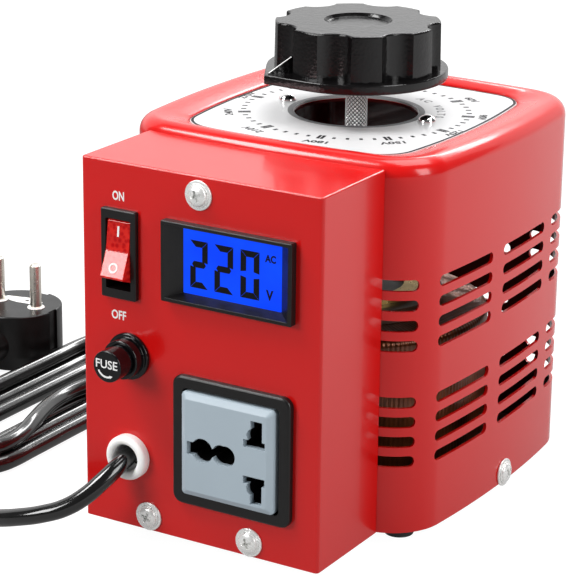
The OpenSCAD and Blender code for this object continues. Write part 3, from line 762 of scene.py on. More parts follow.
def housing_cover():
    holes = [vent_cutters()]
    for side in (-1, 1):
        holes.append(moved(disc(2.3, -5, 5), shift(side * COVER_HIGH.x, *SIDE_SCREW_YZ) @ spin(90, "Y")))
        holes.append(moved(disc(1.6, -5, 5), shift(side * DIAL_SCREW_R, AXIS_Y, SEAT_Z)))
    # a notch under the front wall inside the box, and the wires' way through that wall
    holes.append(block((BOX_HIGH.x - BOX_LOW.x - 1.6, 20, 2.9), (-1, COVER_LOW.y + 5, COVER_LOW.z + 0.45)))
    holes.append(block((40, 12, 26), (0, COVER_LOW.y + 1, 83)))
    make_piece("cover_shell", combined(cover_skin(), holes), RED, "housing_cover", sharp=28)


housing_cover()

# ---------- control box ----------

BOX_EDGE = 0.7  # rounding of its top edges


def box_ring(inset, z, radius):
    """Plan of the control box with rounded front corners, running back into the housing."""
    left, right = BOX_LOW.x + inset, BOX_HIGH.x - inset
    front, back = PANEL_Y + inset, COVER_LOW.y + 8
    corners = [(left, front, radius), (right, front, radius), (right, back, 0), (left, back, 0)]
    return lifted(fillet(corners, 5), z)


def box_solid(inset, low, high, radius, edge):
    """Solid of the box, its top edges rounded."""
    rings = [box_ring(inset, low, radius)]
    for angle in quarter(5):
        pull = edge * (1 - cos(angle))
        rings.append(box_ring(inset + pull, high - edge + edge * sin(angle), max(0.3, radius - pull)))
    return loft(rings)


def control_box():
    low, high = BOX_LOW.z, BOX_HIGH.z
    inner = box_solid(SHEET, low - 2, high - SHEET, 0.5, 0.4)
    cutters = [inner, slab(bowed_outline(COVER, -0.15), low - 5, high + 5)]
    holes = [(rectangle(45.4, 26.8), METER.x, METER.z), (rectangle(12.8, 28.8), SWITCH.x, SWITCH.z),
             (rectangle(42.6, 42.6), SOCKET.x, SOCKET.z), (circle(6.4), FUSE.x, FUSE.z),
             (circle(6.9), BUSHING.x, BUSHING.z)]
    holes += [(circle(2.3, 24), x, z) for x, z, _ in PANEL_SCREWS]
    cutters += [moved(slab(outline, -4, 4), on_panel(x, z)) for outline, x, z in holes]
    shell = combined(box_solid(0, low, high, 1.3, BOX_EDGE), cutters)
    soften(shell, 0.18)
    make_piece("control_box_shell", shell, RED, "control_box")


control_box()

# ---------- screws ----------


def cross_recess(top, reach=2.3, depth=1.5):
    """Cross-shaped cutter that narrows downwards from a height."""
    bars = []
    for deg in (0, 90):
        rings = [[Vector((x * along, y * across, z)) for x, y in ((-1, -1), (1, -1), (1, 1), (-1, 1))]
                 for z, along, across in ((top + 0.4, reach, 0.5), (top - depth, reach * 0.6, 0.38))]
        bars.append(moved(loft(rings), spin(deg)))
    return bars


def washer_screw(deg):
    """Washer, spring washer and domed head with a cross recess, standing on z = 0."""
    washer = turned([(1.9, 0.02, 0), (5.1, 0.02, 0.2), (5.1, 0.75, 0.25), (1.9, 0.75, 0)], 3)
    spring = turned([(1.8, 0.75, 0), (4.1, 0.75, 0.15), (4.1, 1.15, 0.2), (1.8, 1.15, 0)], 3)
    spring = combined(spring, [block((3, 0.5, 1), (3.5, 0, 1.0))])
    dome = [(3.55 * cos(a * pi / 18), 1.35 + 1.05 * sin(a * pi / 18)) for a in range(9)]
    head = combined(lathe([(0, 1.15), (3.55, 1.15)] + dome + [(0, 2.4)], 64), cross_recess(2.4))
    shank = lathe([(0, -5.8), (1.9, -5.8), (2.0, -5.5), (2.0, 1.0), (0, 1.0)], 32)
    return moved(joined([washer, spring, head, shank]), spin(deg))


def screws():
    fronts = [moved(washer_screw(deg), on_panel(x, z)) for x, z, deg in PANEL_SCREWS]
    make_piece("panel_screws", joined(fronts), ZINC, "box_screws")
    sides = [moved(washer_screw(35), shift(side * (COVER_HIGH.x + 0.05), *SIDE_SCREW_YZ)
                   @ spin(side * 90, "Y")) for side in (-1, 1)]
    make_piece("side_screws", joined(sides), ZINC, "housing_screws")


screws()

# ---------- dial ----------

TICK_IN, TICK_OUT = 38.0, 42.6
TICKS, NUMBERS = 50, 10  # steps of the scale
PRINT_T = 0.085  # thickness of the print, mostly sunk in the plate
PRINT_Z = PLATE_HIGH.z - 0.0075


def strip(outer, inner, low, high):
    """Flat closed band between two outlines of equally many points."""
    return loft([lifted(outer, low), lifted(outer, high), lifted(inner, high), lifted(inner, low)],
                caps=False)


def dial_plate():
    top = PLATE_HIGH.z
    rings = [seat_ring(0, SEAT_Z + 0.02), seat_ring(0, top - 0.2), seat_ring(0.2, top),
             around_hole(HOLE_R + 0.15, top), around_hole(HOLE_R, top - 0.15),
             around_hole(HOLE_R, SEAT_Z + 0.02)]
    holes = [moved(disc(1.6, -3, 3), shift(side * DIAL_SCREW_R, AXIS_Y, top)) for side in (-1, 1)]
    make_piece("dial_face", combined(loft(rings, caps=False), holes), WHITE, "dial_plate")


def dial_print():
    low, high = PLATE_HIGH.z - 0.05, PLATE_HIGH.z + 0.035
    marks = [strip(bowed_outline(PLATE, 0.3), bowed_outline(PLATE, 1.3), low, high)]
    for k in range(TICKS + 1):
        if k % 5 == 0:
            tick = joined([block((TICK_OUT - TICK_IN, 1.05, PRINT_T), ((TICK_OUT + TICK_IN) / 2, y, PRINT_Z))
                           for y in (-0.7, 0.7)])
        else:
            tick = block((1.9, 1.15, PRINT_T), (TICK_IN + 2.5, 0, PRINT_Z))
        marks.append(moved(tick, on_axis(ZERO_DEG - TRAVEL_DEG * k / TICKS)))
    for k in range(NUMBERS + 1):
        deg = ZERO_DEG - TRAVEL_DEG * k / NUMBERS
        reach = 44.6 + 2.4 * abs(sin(radians(deg)))
        marks.append(moved(lettering(f"{30 * k}V", 2.9, PRINT_T, 0.03, 1.15),
                           on_axis(deg, PRINT_Z) @ shift(reach) @ spin(-90)))
    words = [strip(around_hole(24.7, 0), around_hole(HOLE_R + 0.2, 0), low, high)]
    for k, letter in enumerate("AC VOLTS"):
        if letter != " ":
            words.append(moved(lettering(letter, 3.0, PRINT_T, 0.035),
                               on_axis(68 - 7.5 * k, PRINT_Z) @ shift(30.5) @ spin(-90)))
    make_piece("dial_print", joined(marks), BLACK_INK)
    make_piece("dial_print_grey", joined(words), GREY_INK)


def dial_screws():
    """Two domed screws that hold the plate."""
    parts = []
    dome = [(3.2 * cos(a * pi / 24), 0.35 + 2.1 * sin(a * pi / 24)) for a in range(12)]
    for deg in (0, 180):
        screw = lathe([(0, -5.5), (1.45, -5.5), (1.45, 0), (3.1, 0), (3.2, 0.15)] + dome + [(0, 2.45)], 64)
        parts.append(moved(screw, on_axis(deg, PLATE_HIGH.z) @ shift(DIAL_SCREW_R)))
    make_piece("dial_domes", joined(parts), CHROME, "dial_screws")


dial_plate()
dial_print()
dial_screws()

# ---------- knob ----------

LOBES = 8
LOBE_R, FLUTE_R, FLUTE_AT = 29.7, 7.8, 33.9
FLANGE_R, TIP_R = 32.5, 37.2
FLANGE_T = 3.6
GRIP_EDGE = 0.7
RIDGE_TIP, RIDGE_ROOT, RIDGE_RISE = TIP_R - 1.6, 24.5, 6.4  # the pointer's ridge


def knob_plan(inset, z):
    """Fluted plan: arcs of the rim between round flutes, moved inwards exactly."""
    rim, bite = LOBE_R - inset, FLUTE_R + inset
    half = acos((rim ** 2 + FLUTE_AT ** 2 - bite ** 2) / (2 * rim * FLUTE_AT))
    spread = atan2(rim * sin(half), FLUTE_AT - rim * cos(half))
    points = []
    for k in range(LOBES):
        mid = 2 * pi * k / LOBES
        for i in range(15):
            turn = spread * (1 - 2 * i / 14)
            x, y = FLUTE_AT - bite * cos(turn), -bite * sin(turn)
            points.append(Vector((x * cos(mid) - y * sin(mid), x * sin(mid) + y * cos(mid), z)))
        for i in range(1, 7):
            angle = mid + half + (2 * pi / LOBES - 2 * half) * i / 7
            points.append(Vector((rim * cos(angle), rim * sin(angle), z)))
    return points


def flange_outline(inset=0.0):
    """Circle drawn out to a tangent point towards +X."""
    radius, tip = FLANGE_R - inset, TIP_R - 1.6 * inset
    touch = acos(radius / tip)
    points = [Vector((tip, 0))]
    for k in range(97):
        angle = touch + (2 * pi - 2 * touch) * k / 96
        points.append(Vector((radius * cos(angle), radius * sin(angle))))
    return points


def wedge(half_wide, low, half_top, top):
    """Corners (y, z) of a section that narrows upwards."""
    return [(-half_wide, low), (half_wide, low), (half_top, top), (-half_top, top)]


def knob():
    height = KNOB_HIGH.z - KNOB_LOW.z
    flange = loft([lifted(flange_outline(inset), z) for inset, z in
                   ((0.5, 0), (0.15, 0.15), (0, 0.5), (0, FLANGE_T - 0.6), (0.2, FLANGE_T - 0.15),
                    (0.7, FLANGE_T))])
    grip = loft([knob_plan(0.0, FLANGE_T - 0.5)] + [
        knob_plan(0.25 + GRIP_EDGE * (1 - cos(a)), height + GRIP_EDGE * (sin(a) - 1)) for a in quarter(5)])
    recess = lathe([(0, height - 1.3), (10.8, height - 1.3), (11.4, height - 1.1), (12.0, height - 0.3),
                    (12.3, height + 0.3), (0, height + 0.3)])
    ridge = loft([[Vector((x, y, z)) for y, z in section] for x, section in
                  ((RIDGE_TIP, wedge(0.25, 2, 0.25, FLANGE_T + 0.15)),
                   (RIDGE_ROOT, wedge(2.6, 2, 0.91, FLANGE_T + RIDGE_RISE)))])
    whole = combined(flange, [grip, ridge], "UNION")
    set_screw_well = moved(disc(2.0, 20, 40, 32), shift(0, 0, 8) @ spin(-90, "Y"))
    whole = combined(whole, [recess, disc(4.02, -1, 11, 48), set_screw_well])
    make_piece("knob_body", moved(whole, on_axis(REST_DEG, KNOB_LOW.z)), KNOB, "knob", "rotor", 30)
    slope = atan2(RIDGE_RISE - 0.15, RIDGE_TIP - RIDGE_ROOT)
    reach = 30.9
    height = FLANGE_T + 0.17 + (RIDGE_TIP - reach) * tan(slope)
    line = moved(block((10.2, 0.55, 0.12)),
                 on_axis(REST_DEG, KNOB_LOW.z) @ shift(reach, 0, height) @ spin(degrees(slope), "Y"))
    make_piece("pointer_line", line, WHITE_INK, body="rotor")


knob()


def knurled_shaft():
    """Shaft with a diamond knurl on its upper stretch."""
    low, high = span("shaft")
    radius = (high.x - low.x) / 2
    knurl_high = KNOB_LOW.z + 1
    heights = [low.z, low.z + 0.6, 60, KNURL_LOW]
    while heights[-1] < knurl_high:
        heights.append(heights[-1] + 0.2)
    rings = []
    for z in heights + [high.z - 0.6, high.z]:
        ring = []
        for angle in around(160):
            r = radius - (0.5 if z in (low.z, high.z) else 0.0)
            if KNURL_LOW < z < knurl_high:
                r -= 0.35 * (1 - min(abs(sin(KNURLS * angle + way * KNURL_RATE * z)) for way in (1, -1)))
            ring.append(Vector((r * cos(angle), AXIS_Y + r * sin(angle), z)))
        rings.append(ring)
    make_piece("shaft_knurled", loft(rings), SHAFT, "shaft", "rotor", 20)


knurled_shaft()

# ---------- meter ----------


def meter():
    rim = slab(rectangle(50.5, 28, 0.5, 3), 0.02, 3.0, 0.35)
    frame_bm = combined(rim, [slab(rectangle(45, 26.4), -14, 0.5)], "UNION")
    well = loft([lifted(rectangle(48, 25.4, 0.3, 3), 3.1), lifted(rectangle(38, 22.4, 0.3, 3), -1.5)])
    frame_bm = combined(frame_bm, [well, slab(rectangle(41, 24.4), -20, -1.5)])
    soften(frame_bm, 0.12)
    make_piece("meter_frame", moved(frame_bm, on_panel(METER.x, METER.z)), SATIN, "meter_bezel")


def digit(lit, x, z, width, height, bar, gap):
    """Bars of one seven-segment digit, mitred where they meet; lit names the segments a to g."""
    half, notch = height / 2, bar / 3
    shapes = {"a": [(gap, height), (width - gap, height), (width - bar - gap, height - bar),
                   (bar + gap, height - bar)],
             "b": [(width, height - gap), (width, half + notch), (width - bar, half + bar / 2 + gap),
                   (width - bar, height - bar - gap)],
             "f": [(0, height - gap), (0, half + notch), (bar, half + bar / 2 + gap),
                   (bar, height - bar - gap)]}
    for name, twin in (("d", "a"), ("c", "b"), ("e", "f")):
        shapes[name] = [(px, height - pz) for px, pz in shapes[twin]]
    low, high = half - bar / 2, half + bar / 2
    shapes["g"] = [(notch, half), (bar - notch, high), (width - bar + notch, high),
                   (width - notch, half), (width - bar + notch, low), (bar - notch, low)]
    return [slab([Vector((x + px, z + pz)) for px, pz in shapes[name]], -0.01, 0.05) for name in lit]


def display():
    """Digits and units printed on the lit panel, placed by shares of its width and height."""
    width, height = 38.0, 22.4
    bars = []
    for lit, share, wide in (("abged", 0.07, 0.18), ("abged", 0.32, 0.19), ("abcdef", 0.585, 0.19)):
        bars += digit(lit, share * width, 0.11 * height, wide * width, 0.73 * height, 2.15, 0.07)
    for text, size, x, z in (("AC", 2.5, 0.885, 0.775), ("V", 3.4, 0.88, 0.22)):
        bars.append(moved(lettering(text, size, 0.06, 0.035, 0.85), shift(x * width, z * height, 0.02)))
    corner = shift(METER.x - width / 2, span("meter_display")[0].y, METER.z - height / 2)
    make_piece("display_digits", moved(joined(bars), corner @ spin(90, "X")), BLACK_INK)


meter()
display()

# ---------- switch ----------

PIVOT_Y = -72.0
ROCKER_TILT = 15.0


def switch():
    rim = slab(rectangle(14, 31.2, 0.6, 3), 0.02, 2.0, 0.5)
    housing = combined(rim, [slab(rectangle(12.4, 28.4), -18.5, 0.5)], "UNION")
    slot = slab(rectangle(10, 24.6, 0.4, 3), -15, 5)
    pin = moved(disc(1.3, -6.0, 6.0, 32), shift(0, 0, PANEL_Y - PIVOT_Y) @ spin(90, "Y"))
    housing = combined(housing, [slot, pin])
    soften(housing, 0.15)
    make_piece("switch_housing", moved(housing, on_panel(SWITCH.x, SWITCH.z)), SATIN, "switch_body")


def rocker():
    """Level profile in (y, z) about the pivot, then tipped to ON."""
    profile = fillet([(-8.5, 10, 0.7), (-7.0, 0, 14), (-8.5, -10, 0.7), (-2, -10.6, 0.8), (3, -5, 0.8),
                      (3, 5, 0.8), (-2, 10.6, 0.8)], 6)
    bar = slab(profile, -4.7, 4.7)
    soften(bar, 0.35)
    whole = combined(bar, [disc(1.25, -5.8, 5.8, 32)], "UNION")
    place = shift(SWITCH.x, PIVOT_Y, SWITCH.z) @ spin(-ROCKER_TILT, "X")
    upright = Matrix(((0, 0, 1, 0), (1, 0, 0, 0), (0, 1, 0, 0), (0, 0, 0, 1)))
    make_piece("rocker_lens", moved(whole, place @ upright), ROCKER, "rocker", "rocker")
    face = degrees(atan2(1.5, 10))
    mark_y, mark_z = -8.02, 6.2
    stroke = moved(block((0.7, 3.6, 0.16)), shift(0, mark_y, mark_z) @ spin(90 + face, "X"))
    ring = moved(strip(circle(1.75, 40), circle(1.15, 40), -0.08, 0.08),
                 shift(0, mark_y, -mark_z) @ spin(90 - face, "X"))
    make_piece("rocker_marks", moved(joined([stroke, ring]), place), WHITE_INK, body="rocker")


switch()
rocker()

# ---------- outlet ----------

INSERT_OUT = 4.7
OPENINGS = Vector((14.2, 42.35))


def opening_cutters():
    """Pin openings about their own centre: one for earth, two mirrored ones for live."""
    outlines = [rectangle(5, 4.7, centre=(-14.5, 0)), circle(4.3, 48, (-10.9, 0)),
                circle(3.6, 48, (-3.4, 0)), circle(3.6, 48, (-1.5, 0)), rectangle(6, 3.2, centre=(-6, 0))]
    for side in (-1, 1):
        outlines += [rectangle(4.5, 9.7, centre=(10.35, side * 10)),
                     rectangle(8.4, 2.7, centre=(9.5, side * 6.5)), circle(2.7, 40, (9.3, side * 9.4))]
    return [moved(slab(outline, -9, 9), shift(*OPENINGS)) for outline in outlines]


def outlet():
    rim = slab(rectangle(46.2, 46.2, 3.5, 6), 0.02, 2.5, 1.0, 4)
    surround = combined(rim, [slab(rectangle(42, 42), -10, 0.6)], "UNION")
    surround = combined(surround, [slab(rectangle(38, 38, 1.7, 5), -20, 5)])
    soften(surround, 0.2)
    make_piece("outlet_frame", moved(surround, on_panel(SOCKET.x, SOCKET.z)), SATIN, "socket_frame")
    low, high = span("socket_insert")
    wide, tall = high.x - low.x, high.z - low.z
    centre = middle("socket_insert")
    place = shift(centre.x, centre.z)
    rings = [lifted(rectangle(wide - less, tall - less, radius, 5), z) for less, radius, z in
             ((0, 1.5, 0), (0, 1.5, INSERT_OUT - 1.9), (0.4, 1.3, INSERT_OUT - 1.4),
              (4.0, 0.9, INSERT_OUT - 0.2), (4.8, 0.7, INSERT_OUT))]
    hollow = moved(block((wide - 3, tall - 3, 8), (0, 0, INSERT_OUT - 6.4)), place)
    plate = combined(moved(loft(rings), place), [hollow] + opening_cutters())
    soften(plate, 0.22, 60)
    make_piece("outlet_insert", moved(plate, on_panel()), INSERT, "socket_insert")
    liner = moved(block((wide - 3.2, tall - 3.2, 10.6), (0, 0, -3.1)), place)
    make_piece("outlet_liner", moved(combined(liner, opening_cutters()), on_panel()), SATIN)


outlet()

# ---------- fuse holder ----------


def fuse():
    place = on_panel(FUSE.x, FUSE.z)
    collar = turned([(5.0, -26, 0), (6.3, -28, 0), (6.3, 0.02, 0), (8.25, 0.02, 0.2),
                     (8.25, 1.5, 0.5), (6.9, 1.5, 0.3), (6.9, 5.9, 0.5), (5.0, 5.9, 0.3)], 4)
    tails = [block((4, 0.8, 9), (0, side * 3, -30.5)) for side in (-1, 1)]
    base = lathe([(0, -26), (6.2, -26), (6.2, -28), (0, -28)])
    make_piece("fuse_collar", moved(joined([collar, base] + tails), place), GLOSS, "fuse_holder")
    front = PANEL_Y - span("fuse_cap")[0].y
    cap = turned([(0, front, 0), (5.6, front, 0.5), (5.6, 6.2, 0.3), (4.7, 6.2, 0), (4.7, -2.5, 0.3),
                  (2.9, -2.5, 0), (2.9, 2.5, 0), (0, 2.5, 0)], 4)
    make_piece("fuse_cap_knob", moved(cap, place), GLOSS, "fuse_cap", "fuse_cap")
    head = [Vector((3.1, 0)), Vector((4.25, 0)), Vector((3.67, 1.2))]
    marks = [moved(lettering("FUSE", 3.1, 0.08, 0.014), shift(0, 0.9, front)),
             arc_band(4.0, 3.35, 205, 290, front),
             moved(slab(head, front - 0.03, front + 0.04), spin(290))]
    make_piece("fuse_marks", moved(joined(marks), place), WHITE_INK, body="fuse_cap")


def arc_band(outer, inner, start, end, z, steps=14):
    """Thin curved bar between two radii, from one angle to another."""
    rings = []
    for k in range(steps + 1):
        angle = radians(start + (end - start) * k / steps)
        rings.append([Vector((r * cos(angle), r * sin(angle), z + dz))
                      for r, dz in ((inner, -0.03), (outer, -0.03), (outer, 0.04), (inner, 0.04))])
    return loft(rings)


fuse()

# ---------- cord bushing, cord and plug ----------


def bushing():
    ring = turned([(4.8, -4.5, 0.2), (6.8, -4.5, 0.3), (6.8, 0.02, 0), (8, 0.02, 0.2), (8, 4, 1.6),
                   (4.8, 4, 1.6)], 6)
    make_piece("cord_grommet", moved(ring, on_panel(BUSHING.x, BUSHING.z)), NYLON, "cord_bushing")


bushing()

CORD_D = 6.2
LEAD = [(-29, -70, 33), (-29, -76, 32.4), (-29.6, -82, 30.4), (-31.5, -88.3, 26.8), (-35.2, -94.2, 22),
        (-40.8, -98.6, 17.8), (-48.6, -101.4, 14.6), (-58, -102.4, 11.6), (-68, -101.6, 8.6),
        (-79, -99.4, 5.8), (-91, -96.2, 4.0), (-103, -92.4, 3.25), (-115, -88, 3.1), (-126, -82, 3.1),
        (-135.5, -74, 3.1), (-143, -64.5, 3.1), (-148, -58.5, 3.1), (-151.2, -51, 3.1)]
TAIL = [(-150.6, -35, 9.6), (-154.4, -25.5, 9.9), (-158.8, -16.2, 10.2), (-164, -9, 10.8),
        (-169, -1.8, 11), (-172.8, 5.6, 11), (-174.6, 13, 11)]
HANK_AT = Vector((-128, 7.5))
HANK_RUN = 104.0
TURNS = [(24.0, 3.1), (16.6, 3.1), (9.2, 3.1), (20.3, 8.2)]  # radius, height
STRAY = 10.0  # how far the last turn's near side leans over the middle
CLIMB = 1.3  # how far a turn rises over the ones it crosses


def eased(share):
    """Smooth step from 0 to 1."""
    share = min(1.0, max(0.0, share))
    return share * share * (3 - 2 * share)


def hank():
    """Turns of the hank: north along the far side, back along the near side.

    The last turn lies on top, and its near side strays over the middle.
    """
    points = []
    half = HANK_RUN / 2
    for index, (radius, z) in enumerate(TURNS):
        for k in range(6):
            points.append((HANK_AT.x - radius, HANK_AT.y - half + HANK_RUN * k / 6, z))
        for k in range(9):
            angle = pi - pi * k / 9
            points.append((HANK_AT.x + radius * cos(angle), HANK_AT.y + half + radius * sin(angle), z))
        last = index == len(TURNS) - 1
        for k in range(10):
            lean = sin(pi * k / 10) ** 2 if last else 0
            points.append((HANK_AT.x + radius - STRAY * lean, HANK_AT.y + half - HANK_RUN * k / 10,
                           z + CLIMB * eased(2 * lean)))
        next_radius, next_z = (radius, z) if last else TURNS[index + 1]
        climbs = next_z > z
        for k in range(12):
            share = k / 12
            r = radius + (next_radius - radius) * (eased((share - 0.35) / 0.6) if climbs else eased(share))
            late = max(0.0, (share - 0.09) / 0.91)
            rise = (next_z - z) * eased(late / 0.4) + (CLIMB * sin(pi * late) if climbs else 0)
            angle = -pi * share
            points.append((HANK_AT.x + r * cos(angle), HANK_AT.y - half + r * sin(angle), z + rise))
    points.append((HANK_AT.x - TURNS[-1][0], HANK_AT.y - half, TURNS[-1][1]))
    return points


def mains_cord():
    route = LEAD + hank() + TAIL
    data = bpy.data.curves.new("mains_cord", "CURVE")
    data.dimensions = "3D"
    data.bevel_depth = CORD_D / 2 * MM
    data.bevel_resolution = 6
    data.resolution_u = 5
    data.use_fill_caps = True
    spline = data.splines.new("BEZIER")
    spline.bezier_points.add(len(route) - 1)
    for knot, place in zip(spline.bezier_points, route):
        knot.co = Vector(place) * MM
        knot.handle_left_type = knot.handle_right_type = "AUTO"
    data.materials.append(CORD.material)
    cord = add_object("mains_cord", data)
    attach(cord, "root")
    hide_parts("power_cord", "cord_hank", "cord_tail")
    return cord


PLUG_AT = (-175, 52)
PLUG_R, PLUG_H = 18.5, 24.0
PIN_X = 9.5


def plug():
    """Angled plug on its back: pins up, the cord leaving towards -Y through a ribbed relief."""
    body = turned([(0, 0.02, 0), (PLUG_R - 0.5, 0.02, 2.0), (PLUG_R, 6, 4), (PLUG_R, PLUG_H, 0.8),
                   (0, PLUG_H, 0)], 6, 128)
    cuts = []
    for side in (-1, 1):
        cuts += [block((7, 4, 20), (0, side * (PLUG_R - 0.4), PLUG_H)),
                 block((3.2, 5, 30), (side * (PLUG_R + 0.6), 0, PLUG_H - 2)),
                 moved(disc(2.9, PLUG_H - 0.7, PLUG_H + 1, 40), shift(side * PIN_X))]
    body = combined(body, cuts)
    soften(body, 0.35)
    neck = turned([(0, 0, 0), (8, 0, 0), (7.2, 9, 2), (4.6, 27, 0.6), (0, 27, 0)], 5, 64)
    ribs = []
    for k in range(5):
        start = 9.5 + 3.2 * k
        reach = 10.2 - 0.145 * start
        ring = lathe([(2, start), (reach, start), (reach, start + 1.3), (2, start + 1.3)], 48)
        ribs.append(combined(ring, [block((8, 20, 40), (0, 0, 20))]))
    neck = moved(combined(neck, ribs), shift(0, -PLUG_R + 4, 11) @ spin(90, "X"))
    return make_piece("plug_shell", moved(joined([body, neck]), shift(*PLUG_AT)), PLUG, "plug_body")


def plug_details():
    place, top = shift(*PLUG_AT), PLUG_H
    pins, sleeves = [], []
    for side in (-1, 1):
        pin = lathe([(0, top - 6), (2.4, top - 6), (2.4, top + 17.5), (2.2, top + 18.3), (1.5, top + 18.9),
                     (0, top + 19)], 48)
        ring = lathe([(2.42, top - 0.65), (3.6, top - 0.65), (3.6, top + 0.25), (3.3, top + 0.5),
                      (2.42, top + 0.5)], 48)
        pins.append(moved(pin, shift(side * PIN_X)))
        sleeves.append(moved(ring, shift(side * PIN_X)))
    plate = fillet([(-11, 2.6, 1.0), (-2, 1.4, 1), (6.5, 2.4, 1), (9.5, 6.2, 1.2), (0, 8.4, 2),
                    (-9.5, 6.2, 1.2)], 4)
    sleeves.append(slab(plate, top - 0.3, top + 0.12, 0.1))
    hole = disc(0.9, top, top + 0.16)
    return [make_piece("plug_prongs", moved(joined(pins), place), NICKEL, "plug_pins"),
            make_piece("plug_inlay", moved(joined(sleeves), place), NYLON),
            make_piece("plug_hole", moved(hole, place @ shift(1.5, 4.6)), BLACK_INK)]


cord_piece = mains_cord()
plug_pieces = [plug()] + plug_details()

# ---------- feet and insides ----------


def feet():
    height = span("rubber_feet")[1].z
    foot = [(1.6, 3.5), (1.6, height), (4.6, height), (5.3, height - 0.4), (5.5, 1.0), (5.1, 0.0),
            (3.3, 0.0), (3.2, 2.5)]
    parts = [moved(lathe(foot, 48), shift(x, y)) for x in (-46, 46) for y in (-19.5, 70.5)]
    make_piece("feet_soft", joined(parts), RUBBER, "rubber_feet")


def winding():
    """Shell of wire turns: a rounded section swept round, each turn a ridge, the core's room left out."""
    low, high = span("winding")
    outer, inner = 49.7, 19.3
    base, top = low.z + 0.3, high.z - 0.3
    centre = ((outer + inner) / 2, (top + base) / 2)
    section = rectangle(outer - inner, top - base, 2.6, 4, centre)
    hollow = rectangle(22.4, 47.6, 0.5, 1, centre)
    normals = outline_normals(section)
    per_turn, gap = 4, 24.0
    count = 168 * per_turn
    rings = []
    for k in range(count + 1):
        angle = radians((360 - gap) * k / count)
        ridge = 0.26 * abs(sin(pi * k / per_turn)) - 0.13
        rings.append([Vector((*polar(angle, p.x + n.x * ridge), p.y + n.y * ridge))
                      for p, n in zip(section, normals)])
    past_ends = {0: -0.6, 60: 0.6}
    room = []
    for k in range(61):
        angle = radians((360 - gap) * k / 60 + past_ends.get(k, 0))
        room.append([Vector((*polar(angle, p.x), p.y)) for p in hollow])
    shell = combined(loft(rings), [loft(room)])
    start = ZERO_DEG + (360 - TRAVEL_DEG) / 2 + gap / 2
    make_piece("winding_turns", moved(shell, on_axis(start)), COPPER, "winding", sharp=60)


def spring():
    """Coil spring over the brush, as one fixed mesh; the real spring shortens as the brush lifts."""
    low, high = span("brush_spring")
    centre = middle("brush_spring")
    wire, radius, turns, steps = 0.3, 2.2, 5.5, 110
    rings = []
    for k in range(steps + 1):
        out = polar(2 * pi * turns * k / steps).to_3d()
        z = low.z + wire + (high.z - low.z - 2 * wire) * k / steps
        at = Vector((centre.x, centre.y, z)) + radius * out
        rings.append([at + wire * (out * cos(t) + Vector((0, 0, 1)) * sin(t))
                      for t in around(8)])
    coil = make_piece("spring_coil", loft(rings), STEEL_SHEET, "brush_spring", "rotor", 60)
    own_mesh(coil)


feet()
winding()
spring()

NODE_LOOKS = {
    STEEL_SHEET: "base_plate panel_bracket",
    ZINC: "foot_screws foot_nuts dial_nuts clamp_bolts clamp_nuts arm_screws stop_post stop_pin "
          "shaft_collar",
    CORE: "core knob_set_screw", FIBRE: "core_caps thrust_washer",
    BAKELITE: "coil_base coil_clamp arm_hub", ALUMINIUM: "brush_arm",
    BRASS: "lower_bush upper_bush slip_ring brush_holder switch_terminals socket_contacts",
    CARBON: "carbon_brush collector_brush", DISPLAY: "meter_display", GREEN: "meter_board",
    SATIN: "socket_back fuse_nut", GLASS: "fuse_link", NYLON: "terminal_block", WIRE: "lead_wires",
    NICKEL: "plug_earth_clips",
}
for look, nodes in NODE_LOOKS.items():
    for node in nodes.split():
        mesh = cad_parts[node].data
        mesh.materials.clear()
        mesh.materials.append(look.material)


def printed(name, text, height, x, z, narrow):
    """White lettering on the panel's paint."""
    letters = moved(lettering(text, height, 0.08, 0.022, narrow), on_panel(x, z) @ shift(0, 0, 0.01))
    make_piece(name, letters, WHITE_INK)


printed("label_on", "ON", 3.2, -33.0, 124.2, 0.70)
printed("label_off", "OFF", 3.2, -33.2, 82.3, 0.78)

# ---------- floor and light ----------

FLOOR_TURN = 30.8  # squares the backdrop to the camera


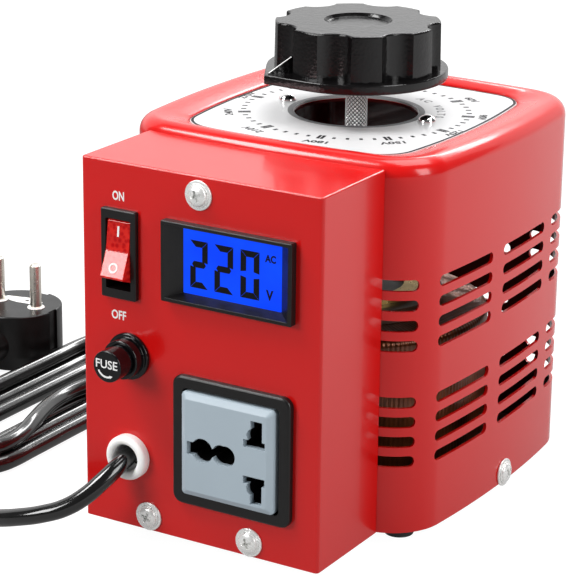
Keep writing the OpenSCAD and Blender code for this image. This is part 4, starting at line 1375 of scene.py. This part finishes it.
def floor():
    """Floor and backdrop in one sweep. The camera sees it white; reflections see it fade to the left."""
    half, wall_y, rise, bend = 3.0, 1.6, 2.5, 0.8
    line = [(-half, 0)] + [(wall_y - bend + bend * sin(a), bend - bend * cos(a)) for a in quarter(12)]
    line.append((wall_y, rise))
    data = bpy.data.meshes.new("floor")
    data.from_pydata([(x, y, z) for y, z in line for x in (-half, half)], [],
                     [(2 * i, 2 * i + 1, 2 * i + 3, 2 * i + 2) for i in range(len(line) - 1)])
    data.shade_smooth()
    look = Look("studio_floor", (0.16, 0.16, 0.16), 0.8, specular_ior_level=0.0, emission_color=(1, 1, 1, 1))
    look.tint(look.map(look.noise(6, 2), 0.3, 0.8, 0, 0.4), (0.15, 0.15, 0.15))
    x, y, z = look.split(look.place())
    seen = look.math("MAXIMUM", look.map(x, -0.30, 0.6, 0.04, 0.85), look.map(z, 0.0, 0.35, 0.0, 1.0))
    white = look.math("MULTIPLY", look.node("ShaderNodeLightPath").outputs["Is Camera Ray"], 0.95)
    look.link(look.math("MAXIMUM", seen, white), look.shader.inputs["Emission Strength"])
    data.materials.append(look.material)
    made = add_object("floor", data)
    made.rotation_euler.z = radians(FLOOR_TURN)


def soft_light(name, towards, distance, size, power):
    """Soft box in a direction from the middle of the object, facing it."""
    target = Vector((0, 0, 0.08))
    place = target + Vector(towards).normalized() * distance
    data = bpy.data.lights.new(name, "AREA")
    data.shape = "RECTANGLE"
    data.size, data.size_y = size
    data.energy = power
    lamp = add_object(name, data)
    lamp.location = place
    lamp.rotation_euler = (target - place).to_track_quat("-Z", "Y").to_euler()


def studio():
    world = bpy.data.worlds.new("studio")
    bpy.context.scene.world = world
    world.use_nodes = True
    background = world.node_tree.nodes["Background"]
    background.inputs["Color"].default_value = (1, 1, 1, 1)
    background.inputs["Strength"].default_value = 0.13
    soft_light("top", (0.1, 0.2, 1.0), 1.2, (0.9, 0.9), 13.5)
    soft_light("key", (-0.487, -0.313, 0.816), 1.2, (0.45, 0.35), 9)
    soft_light("front", (-0.470, -0.800, 0.375), 0.8, (0.34, 0.26), 3.3)
    soft_light("back", (-0.1, 0.82, 0.57), 1.5, (1.0, 0.12), 5)
    soft_light("right", (0.95, -0.2, 0.45), 1.3, (0.5, 0.8), 9)


floor()
studio()
bpy.context.scene.view_settings.view_transform = "Standard"
